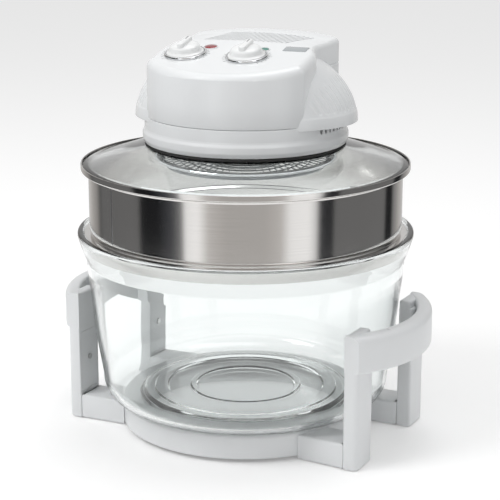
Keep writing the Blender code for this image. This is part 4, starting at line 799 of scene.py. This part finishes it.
def make_collar():
    """The round housing between the glass and the head, with upright slots on its left and right."""
    profile = [
        (COLLAR_TOP_RADIUS, COLLAR_TOP), (COLLAR_TOP_RADIUS, COLLAR_BOTTOM + 0.0150),
        (0.0984, COLLAR_BOTTOM + 0.0132), (COLLAR_RADIUS, COLLAR_BOTTOM + 0.0105),
        (COLLAR_RADIUS, COLLAR_BOTTOM + 0.0045), (0.0978, COLLAR_BOTTOM), (COLLAR_HOLE, COLLAR_BOTTOM),
        (COLLAR_HOLE, COLLAR_FLOOR), (COLLAR_INSIDE, COLLAR_FLOOR), (COLLAR_INSIDE, COLLAR_TOP),
    ]
    radii = [0.0006, 0.002, 0.002, 0.003, 0.004, 0.0022, 0.0005, 0.0005, 0.001, 0.0006]
    profile = fillet(profile, radii, 6)
    collar = lathe("collar_shell", profile, HEAD_WHITE, "lid", "white_plastic", ["collar"])
    slots = []
    half, bottom = VENT_HALF_WIDTH, COLLAR_TOP - VENT_DEPTH
    outline = [(half, 0.0095), (-half, 0.0095)] + arc((0, half), half, 180, 360, 8)
    for side in (0, math.pi):
        for number in range(VENT_COUNT):
            turn = Matrix.Rotation(side + VENT_PITCH * (number - VENT_COUNT // 2), 4, "Z")
            slot = prism_mesh("slot", outline, 0.092, 0.103)
            stand_up = Matrix(((0, 0, 1, 0), (1, 0, 0, 0), (0, 1, 0, bottom), (0, 0, 0, 1)))
            slot.transform(turn @ stand_up)
            slots.append(slot)
    carve(collar, [joined_mesh("slots", slots)], "DIFFERENCE", 32)
    collar.data.transform(LID)
    # A dark sheet stands behind the slots: painted shade for the dim inside of the collar
    inner, outer = 0.0935, 0.0945
    top, foot = COLLAR_TOP - 0.0005, COLLAR_TOP - 0.012
    shade_sheet = [(outer, top), (outer, foot), (inner, foot), (inner, top)]
    lathe("vent_shade_sheet", shade_sheet, DARK, "lid", "grey_plastic", (), LID)


# Head

ROOF_FALL_Y = 0.045
ROOF_FALL_SPAN = 0.30
ROOF_BLEND = 0.0006
HEAD_HALF = 0.0787
HEAD_WAIST = 0.0685
HEAD_REAR = 0.0750
HEAD_WALL = 0.0025
HEAD_POINTS = 320
HEAD_RINGS = 44
SEAM_RISE = 0.0445
EDGE_ROUND = 0.0085
EDGE_ROUND_LOSS = 0.0035


def roof_height(x, y):
    """Top face of the head: the flat panel, then a low dome behind it."""
    panel = PANEL_FRONT_Z + PANEL_SLOPE * (y + HEAD_RADIUS)
    roof = PANEL_FRONT_Z + PANEL_SLOPE * (ROOF_BREAK_Y + HEAD_RADIUS) + ROOF_SLOPE * (y - ROOF_BREAK_Y)
    if y > ROOF_FALL_Y:
        roof -= (y - ROOF_FALL_Y) ** 2 / ROOF_FALL_SPAN
    low = (panel + roof - math.sqrt((panel - roof) ** 2 + ROOF_BLEND**2)) / 2
    behind = min(1.0, max(0.0, (y + 0.012) / 0.05))
    return low - behind * x * x / 1.0


def head_plan():
    """Plan of the head, as evenly spaced points from the front round by the right."""
    half, waist, rear = HEAD_HALF, HEAD_WAIST, HEAD_REAR
    corner = math.degrees(math.asin(half / HEAD_RADIUS))
    back = math.degrees(math.asin((rear - 0.004) / HEAD_RADIUS))
    keys = arc((0, 0), HEAD_RADIUS, -90, -90 + corner, 14)
    radii = [0.0] * (len(keys) - 1) + [0.016]
    keys += [(half, -0.020), (waist, 0.002), (rear, math.sqrt(HEAD_RADIUS**2 - rear**2) - 0.001)]
    radii += [0.030, 0.030, 0.010]
    rest = arc((0, 0), HEAD_RADIUS, 90 - back, 90, 10)
    keys += rest
    radii += [0.004] + [0.0] * (len(rest) - 1)
    left = [(-x, y) for x, y in reversed(keys[1:-1])]
    outline = fillet(keys + left, radii + list(reversed(radii[1:-1])), 6)
    lengths = [0.0]
    for a, b in zip(outline, outline[1:] + outline[:1]):
        lengths.append(lengths[-1] + math.dist(a, b))
    plan, index = [], 0
    for i in range(HEAD_POINTS):
        goal = lengths[-1] * i / HEAD_POINTS
        while lengths[index + 1] < goal:
            index += 1
        span = max(lengths[index + 1] - lengths[index], 1e-12)
        t = (goal - lengths[index]) / span
        a, b = outline[index], outline[(index + 1) % len(outline)]
        plan.append(Vector((a[0] + (b[0] - a[0]) * t, a[1] + (b[1] - a[1]) * t)))
    return plan


def make_head():
    """The head's casing: walls with a parting line, a rounded rim and the roof, as rings of points."""
    plan = head_plan()
    count = len(plan)
    normals = []
    for i in range(count):
        along = plan[(i + 2) % count] - plan[i - 2]
        normals.append(Vector((along.y, -along.x)).normalized())
    seam_z = HEAD_BOTTOM + SEAM_RISE
    rounds = [EDGE_ROUND if p.y < -0.03 else EDGE_ROUND - EDGE_ROUND_LOSS * min(1, (p.y + 0.03) / 0.03)
              for p in plan]
    verts, rows = [], []

    def row(points):
        rows.append(list(range(len(verts), len(verts) + count)))
        verts.extend(points)

    def wall(height, inset):
        row([(p.x - n.x * inset(p), p.y - n.y * inset(p), height) for p, n in zip(plan, normals)])

    def seam(depth):
        return lambda p: depth if p.y > 0.004 else 0.0

    wall(HEAD_BOTTOM, lambda p: 0.0008)
    wall(HEAD_BOTTOM + 0.0003, lambda p: 0.0003)
    wall(HEAD_BOTTOM + 0.0009, lambda p: 0.0)
    wall(HEAD_BOTTOM + 0.020, lambda p: 0.0)
    for offset, depth in ((-0.0007, 0.0), (-0.0003, 0.0006), (0.0003, 0.0006), (0.0007, 0.0)):
        wall(seam_z + offset, seam(depth) if depth else (lambda p: 0.0))
    arc_steps = 8
    for step in range(arc_steps + 1):
        angle = math.pi / 2 * step / arc_steps
        points = []
        for p, n, r in zip(plan, normals, rounds):
            inner = p - n * r
            spot = p - n * (r * (1 - math.cos(angle)))
            z = roof_height(inner.x, inner.y) - r * (1 - math.sin(angle))
            points.append((spot.x, spot.y, max(z, seam_z + 0.0008) if step == 0 else z))
        row(points)
    inner_plan = [p - n * r for p, n, r in zip(plan, normals, rounds)]
    for ring in range(1, HEAD_RINGS):
        share = 1 - ring / HEAD_RINGS
        row([(p.x * share, p.y * share, roof_height(p.x * share, p.y * share)) for p in inner_plan])
    faces = band_faces(len(rows), count)
    tip = len(verts)
    verts.append((0, 0, roof_height(0, 0)))
    faces += [[rows[-1][i], rows[-1][(i + 1) % count], tip] for i in range(count)]
    faces.append(list(reversed(rows[0])))
    cover = mesh_of("head_cover", verts, faces)
    head = add_object("head_cover", cover, HEAD_WHITE, "lid", "white_plastic", ["head_shell"], None, 50)
    carve(head, [roof_slots(), inner_block(plan, normals)], "DIFFERENCE", 50)
    head.data.transform(LID)


def inner_block(plan, normals):
    """The hollow under the roof, open at the bottom."""
    inner = [p - n * HEAD_WALL for p, n in zip(plan, normals)][::4]
    count = len(inner)
    verts = [(p.x, p.y, HEAD_BOTTOM - 0.002) for p in inner]
    for plan_share, roof_share, drop in ((1, 0.9, 0.0075), (0.86, 0.86, 0.0035), (0.4, 0.4, 0.0035)):
        verts += [
            (p.x * plan_share, p.y * plan_share, roof_height(p.x * roof_share, p.y * roof_share) - drop)
            for p in inner
        ]
    caps = [list(range(count)), list(range(3 * count, 4 * count))]
    return mesh_of("inner_block", verts, caps + band_faces(4, count))


ROOF_SLOT_COUNT = 19
ROOF_SLOT_PITCH = 0.0046
ROOF_SLOT_HALF_WIDTH = 0.00075
ROOF_SLOT_HALF_LENGTH = 0.0195
ROOF_SLOT_X = 0.0045
ROOF_SLOT_Y = 0.0255
ROOF_SLOT_SLANT = math.radians(-25)


def roof_slots():
    """Fine slanted vent slots behind the controls."""
    slots = []
    slant = Matrix.Rotation(ROOF_SLOT_SLANT, 4, "Z")
    width, length = ROOF_SLOT_HALF_WIDTH, ROOF_SLOT_HALF_LENGTH
    outline = arc((0, length), width, 0, 180, 6) + arc((0, -length), width, 180, 360, 6)
    for number in range(ROOF_SLOT_COUNT):
        x = ROOF_SLOT_X + ROOF_SLOT_PITCH * (number - ROOF_SLOT_COUNT // 2)
        y = ROOF_SLOT_Y
        slot = prism_mesh("slot", outline, roof_height(x, y) - 0.0075, roof_height(x, y) + 0.012)
        slot.transform(Matrix.Translation((x, y, 0)) @ slant)
        slots.append(slot)
    return joined_mesh("slots", slots)


# Side grips

EAR_REACH = 0.110
EAR_LENGTH = 0.0854
EAR_HEIGHT = 0.0754
EAR_BASE = HEAD_BOTTOM - 0.0032
EAR_WALL = 0.0026
EAR_CUT_X = 0.0655
EAR_BACK = 0.0625
EAR_HALF_SWEEP = 58
EAR_RISE = math.radians(56)
EAR_BAND = 0.0125
EAR_BAND_TOP = 0.0115
EAR_BAND_RISE = 0.0005
GROOVE_DEPTH = 0.0013
GROOVE_PITCH = 0.0070
GROOVE_WIDTH = 0.0016
GROOVE_REACH = 0.049
GROOVE_TOP = 0.045


def ear_dip(y, z):
    """How deep the curved grooves are at a place of the grip, seen from its side."""
    upper = GROOVE_TOP * (1 - (y / 0.085) ** 2)
    if z < EAR_BAND or z > upper:
        return 0.0
    ends = min(1.0, (z - EAR_BAND) / 0.0022, (upper - z) / 0.006)
    lean = 1 + 5.5 * (z - EAR_BAND)
    place = y / lean
    if abs(place) > GROOVE_REACH:
        return 0.0
    off = (place / GROOVE_PITCH) % 1.0 - 0.5
    return GROOVE_DEPTH * ends * math.exp(-((off * GROOVE_PITCH / GROOVE_WIDTH) ** 2))


def make_ear(side, sign):
    """One side grip: part of an ellipsoid with curved grooves and a low band round its rim."""
    around, up = 210, 110
    low_angle, high_angle = -EAR_HALF_SWEEP, EAR_HALF_SWEEP
    verts, faces = [], []
    for row in range(up + 1):
        height = math.sin(EAR_RISE * row / up)
        level = math.cos(EAR_RISE * row / up)
        for column in range(around + 1):
            angle = math.radians(low_angle + (high_angle - low_angle) * column / around)
            x = EAR_REACH * level * math.cos(angle)
            y = EAR_LENGTH * level * math.sin(angle)
            z = EAR_HEIGHT * height
            normal = Vector((x / EAR_REACH**2, y / EAR_LENGTH**2, z / EAR_HEIGHT**2)).normalized()
            dip = ear_dip(y, z)
            if z < EAR_BAND_TOP:
                dip = -EAR_BAND_RISE * min(1, (EAR_BAND_TOP - z) / 0.0012)
            spot = Vector((x, y, z)) - normal * dip
            if z == 0:
                spot.z = 0
            verts.append((spot.x * sign, spot.y, EAR_BASE + spot.z))
    for row in range(up):
        for column in range(around):
            start = row * (around + 1) + column
            faces.append([start, start + 1, start + around + 2, start + around + 1])
    planes = (((sign * EAR_CUT_X, 0, 0), (-sign, 0, 0)), ((0, EAR_BACK, 0), (0, 1, 0)))
    mesh = trimmed("ear", mesh_of("ear", verts, faces), planes)
    name = side + "_lid_grip"
    ear = add_object(name, mesh, HEAD_WHITE, "lid", "white_plastic", [side + "_ear"], LID, 60)
    solid = ear.modifiers.new("wall", "SOLIDIFY")
    solid.thickness = EAR_WALL
    solid.offset = -1
    apply_modifiers(ear, 55)


# Controls

TIMER_X = -0.046
THERMOSTAT_X = 0.016
KNOB_Y = -0.040
RED_LENS_X = -0.029
GREEN_LENS_X = 0.025
RED_LENS_RADIUS = 0.0060
GREEN_LENS_RADIUS = 0.0048
LENS_Y = -0.017
WINDOW_PLACE = (0.055, -0.012)
WINDOW_HALF = (0.0115, 0.0065)
INLET_RISE = 0.016
KNOB_BAR_HALF = (0.0036, 0.0128)
TICK_COUNT = 21
TICK_STEP = 13.5
TICK_START = 135
TICK_RADIUS = 0.0217
TICK_HALF_WIDTH = 0.00022


def rectangle(half_width, half_length):
    return [(-half_width, -half_length), (half_width, -half_length), (half_width, half_length),
            (-half_width, half_length)]


def panel_matrix(x, y):
    """Places a piece upright on the sloping panel, from a place in the head's plan."""
    height = PANEL_FRONT_Z + PANEL_SLOPE * (y + HEAD_RADIUS)
    return LID @ Matrix.Translation((x, y, height)) @ Matrix.Rotation(PANEL_TILT, 4, "X")


def make_knob(name, x, body):
    """A dial with its bar and mark, which turn, and the chrome ring and printed scale round it."""
    place = panel_matrix(x, KNOB_Y)
    profile = [
        (0, 0.0112), (0.0100, 0.0107), (0.0142, 0.0085), (0.0156, 0.0040), (0.0180, 0.0026), (0.0180, GAP),
        (0.0033, GAP), (0.0033, 0.0073), (0, 0.0073),
    ]
    radii = [0, 0.02, 0.004, 0.0030, 0.0012, 0.0003, 0.0003, 0, 0]
    profile = fillet(profile, radii, 6, closed=False)
    knob = lathe(name + "_dial", profile, KNOB_WHITE, body, "white_plastic", [name + "_knob"],
                 closed=False, steps=96)
    outline = fillet(rectangle(*KNOB_BAR_HALF), 0.0034, 6)
    carve(knob, [soft_prism_mesh("bar", outline, 0.0076, 0.0139, 0.0016, 4)], "UNION", 38)
    knob.data.transform(place)
    half, near, far = 0.0005, 0.0030, 0.0108
    mark = fillet([(-half, near), (half, near), (half, far), (-half, far)], 0.0004, 3)
    mark_mesh = prism_mesh("mark", mark, 0.01385, 0.01397)
    add_object(name + "_mark", mark_mesh, INK, body, "grey_plastic", (), place)
    ring = [(0.0200, 0.0024), (0.0205, 0.0012), (0.0205, GAP), (0.0186, GAP), (0.0186, 0.0022)]
    ring = fillet(ring, [0.0008, 0.0006, 0.0002, 0.0002, 0.0006], 4)
    lathe(name + "_trim", ring, CHROME, "lid", "chrome", [name + "_bezel"], place, steps=96)
    # Printed scale round the dial: short strokes, longer at each fourth
    ticks = []
    half, near = TICK_HALF_WIDTH, TICK_RADIUS
    for number in range(TICK_COUNT):
        far = TICK_RADIUS + (0.0026 if number % 4 == 0 else 0.0015)
        plan = [(-half, near), (half, near), (half, far), (-half, far)]
        stroke = prism_mesh("tick", plan, 0.00002, 0.0001)
        stroke.transform(Matrix.Rotation(math.radians(TICK_START - TICK_STEP * number), 4, "Z"))
        ticks.append(stroke)
    add_object(name + "_scale", joined_mesh("scale", ticks), INK, "lid", "grey_plastic", (), place)


def make_lens(name, x, radius, material):
    """A pilot lamp's domed lens and the raised rim of its hole."""
    place = panel_matrix(x, LENS_Y)
    depth = 0.006
    profile = [(0, 0.0013), (radius * 0.6, 0.0011), (radius, 0.0002), (radius, -depth), (0, -depth)]
    profile = fillet(profile, [0, 0.006, 0.0008, 0, 0], 4, closed=False)
    lathe(name + "_dome", profile, material, "lid", name, [name], place, closed=False, steps=48)
    inner, outer = radius + 0.0002, radius + 0.0011
    rim = [(inner, 0.0), (inner, 0.0006), (radius + 0.0009, 0.0005), (outer, 0.0)]
    lathe(name + "_rim", fillet(rim, 0.0002, 2), HEAD_WHITE, "lid", "white_plastic", (), place, steps=48)


def make_window():
    place = panel_matrix(*WINDOW_PLACE)
    outline = fillet(rectangle(*WINDOW_HALF), 0.0010, 4)
    pane = soft_prism_mesh("pane", outline, -0.0010, 0.0003, 0.0002, 2)
    add_object("window_pane", pane, SMOKED, "lid", "smoked_plastic", ["display_window"], place)


def make_inlet():
    wall_point = Matrix.Translation((0, HEAD_RADIUS, HEAD_BOTTOM + INLET_RISE))
    place = LID @ wall_point @ Matrix.Rotation(-math.pi / 2, 4, "X")
    bore, sleeve, flange_top, inside = 0.0035, 0.0062, 0.0033, -0.0085
    profile = [(0.0087, flange_top), (0.0090, GAP), (sleeve, GAP), (sleeve, inside), (bore, inside),
               (bore, flange_top)]
    lathe("inlet_bush", fillet(profile, [0.001, 0.0006, 0, 0, 0.0005, 0.0008], 4), RUBBER, "lid", "rubber",
          ["cord_inlet"], place, steps=48)


# Finishes of the solids that stay

KEPT = {
    "lower_bush": BRASS, "upper_bush": BRASS, "motor_coil": COPPER, "motor_stator": STACK,
    "motor_rotor": STACK, "left_lamp_holder": CERAMIC, "right_lamp_holder": CERAMIC,
    "terminal_block": CERAMIC, "timer_body": DARK, "thermostat_body": DARK,
}


def finish_solids():
    for name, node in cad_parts.items():
        if node.hide_render:
            continue
        if name in KEPT:
            material = KEPT[name]
        elif name.endswith("_foot"):
            material = RUBBER
        elif name.endswith("_cover"):
            material = WHITE
        else:
            material = PLAIN_STEEL
        node.data.materials.clear()
        node.data.materials.append(material)


# Studio

CAMERA_TURN = math.radians(27.84)
CAMERA_DISTANCE = 1.518
CAMERA_HEIGHT = 0.580
CAMERA_PITCH = math.radians(14.9)
FOCAL_SHARE = 1583 / 500


def make_camera():
    data = bpy.data.cameras.new("camera")
    data.sensor_width = 36
    data.lens = FOCAL_SHARE * data.sensor_width
    data.shift_x = 0.0087
    camera = bpy.data.objects.new("camera", data)
    bpy.context.scene.collection.objects.link(camera)
    camera.location = (CAMERA_DISTANCE * math.sin(CAMERA_TURN), -CAMERA_DISTANCE * math.cos(CAMERA_TURN),
                       CAMERA_HEIGHT)
    camera.rotation_euler = (math.pi / 2 - CAMERA_PITCH, 0, CAMERA_TURN)
    bpy.context.scene.camera = camera


# Grey and dark cards with soft boxes between them, as (degrees from the camera's side, light)
CARDS = (
    (-165, 0.75), (-140, 0.50), (-125, 0.32), (-118, 0.10), (-114, 0.16), (-98, 0.16),
    (-74, 0.17), (-71, 0.012), (-58, 0.012), (-48, 0.06), (-41, 0.20), (-38, 1.05),
    (-30, 1.15), (-23, 0.62), (-12, 0.50), (12, 0.50), (22, 0.60), (28, 1.05),
    (40, 1.12), (45, 0.80), (48, 0.03), (57, 0.02), (59, 0.17), (80, 0.17),
    (108, 0.18), (110, 0.012), (119, 0.012), (122, 0.22), (135, 0.45), (165, 0.75),
)


CARD_RADIUS = 0.62
CARD_HEIGHT = 1.1
WARM = (1.02, 0.985, 0.95)
COOL = (0.93, 0.98, 1.10)


def make_cards():
    """A ring of cards that only polished faces see."""
    mesh = lathe_mesh("cards", [(CARD_RADIUS, 0.0), (CARD_RADIUS, CARD_HEIGHT)], closed=False, steps=96)
    cards = helper(mesh)
    cards.name = "cards"
    cards.visible_camera = False
    cards.visible_diffuse = False
    cards.visible_shadow = False
    cards.visible_transmission = False
    cards.visible_volume_scatter = False
    cards.rotation_euler.z = CAMERA_TURN
    material = bpy.data.materials.new("cards")
    material.use_nodes = True
    tree = material.node_tree
    tree.nodes.clear()
    spot = tree.nodes.new("ShaderNodeTexCoord")
    split = tree.nodes.new("ShaderNodeSeparateXYZ")
    angle = tree.nodes.new("ShaderNodeMath")
    angle.operation = "ARCTAN2"
    back = tree.nodes.new("ShaderNodeMath")
    back.operation = "MULTIPLY"
    back.inputs[1].default_value = -1
    turn = tree.nodes.new("ShaderNodeMapRange")
    turn.inputs["From Min"].default_value = -math.pi
    turn.inputs["From Max"].default_value = math.pi
    ramp = tree.nodes.new("ShaderNodeValToRGB")
    glow = tree.nodes.new("ShaderNodeEmission")
    out = tree.nodes.new("ShaderNodeOutputMaterial")
    tree.links.new(spot.outputs["Object"], split.inputs[0])
    tree.links.new(split.outputs["Y"], back.inputs[0])
    tree.links.new(split.outputs["X"], angle.inputs[0])
    tree.links.new(back.outputs[0], angle.inputs[1])
    tree.links.new(angle.outputs[0], turn.inputs["Value"])
    tree.links.new(turn.outputs["Result"], ramp.inputs[0])
    tree.links.new(ramp.outputs[0], glow.inputs["Color"])
    tree.links.new(glow.outputs[0], out.inputs["Surface"])
    elements = ramp.color_ramp.elements
    for i, (degrees, light) in enumerate(CARDS):
        position = (degrees + 180) / 360
        element = elements[i] if i < 2 else elements.new(position)
        element.position = position
        tint = (1, 1, 1)
        if 0.3 < light < 0.7:
            tint = WARM
        elif light < 0.07:
            tint = COOL
        element.color = (*[light * share for share in tint], 1)
    cards.data.materials.append(material)


def add_area(name, place, target, size, energy):
    data = bpy.data.lights.new(name, "AREA")
    data.shape = "DISK"
    data.size = size
    data.energy = energy
    light = bpy.data.objects.new(name, data)
    bpy.context.scene.collection.objects.link(light)
    light.location = place
    light.rotation_euler = (Vector(place) - Vector(target)).to_track_quat("Z", "Y").to_euler()


WORLD_LIGHT = 0.62
FLOOR_LIFT = 0.22
FLOOR_RADIUS = 6


def seen_directly(tree):
    """1 for camera, glossy and transmission rays, 0 for light that falls on the object."""
    path = tree.nodes.new("ShaderNodeLightPath")
    seen = path.outputs["Is Camera Ray"]
    for kind in ("Is Glossy Ray", "Is Transmission Ray"):
        either = tree.nodes.new("ShaderNodeMath")
        either.operation = "MAXIMUM"
        tree.links.new(seen, either.inputs[0])
        tree.links.new(path.outputs[kind], either.inputs[1])
        seen = either.outputs[0]
    return seen


def make_studio():
    """White surroundings, a white floor that keeps its shadow, and two large soft lamps."""
    world = bpy.data.worlds.new("studio")
    bpy.context.scene.world = world
    world.use_nodes = True
    tree = world.node_tree
    back = tree.nodes["Background"]
    level = tree.nodes.new("ShaderNodeMapRange")
    level.inputs["To Min"].default_value = WORLD_LIGHT
    level.inputs["To Max"].default_value = 1.0
    tree.links.new(seen_directly(tree), level.inputs["Value"])
    tree.links.new(level.outputs["Result"], back.inputs["Strength"])
    back.inputs["Color"].default_value = (1, 1, 1, 1)

    floor = helper(lathe_mesh("floor", [(0, 0), (FLOOR_RADIUS, 0)], closed=False, steps=64))
    floor.name = "floor"
    material = bpy.data.materials.new("floor")
    material.use_nodes = True
    tree = material.node_tree
    shader = tree.nodes["Principled BSDF"]
    shader.inputs["Base Color"].default_value = (0.9, 0.9, 0.9, 1)
    shader.inputs["Roughness"].default_value = 0.9
    shader.inputs["Specular IOR Level"].default_value = 0.0
    level = tree.nodes.new("ShaderNodeMath")
    level.operation = "MULTIPLY"
    level.inputs[1].default_value = FLOOR_LIFT
    tree.links.new(seen_directly(tree), level.inputs[0])
    tree.links.new(level.outputs[0], shader.inputs["Emission Strength"])
    shader.inputs["Emission Color"].default_value = (1, 1, 1, 1)
    floor.data.materials.append(material)

    add_area("key", (-0.9, -1.2, 1.7), (0, 0, 0.2), 1.1, 15)
    add_area("top", (0.2, 0.3, 2.0), (0, 0, 0.3), 1.2, 8)
    bpy.context.scene.view_settings.view_transform = "Standard"


make_base()
make_handles()
make_bowl()
make_ring()
make_lid_glass()
make_shield()
make_guard()
make_lamp()
make_collar()
make_head()
make_ear("left", -1)
make_ear("right", 1)
make_knob("timer", TIMER_X, "timer")
make_knob("thermostat", THERMOSTAT_X, "thermostat")
make_lens("red_lens", RED_LENS_X, RED_LENS_RADIUS, RED)
make_lens("green_lens", GREEN_LENS_X, GREEN_LENS_RADIUS, GREEN)
make_window()
make_inlet()
finish_solids()
make_camera()
make_cards()
make_studio()
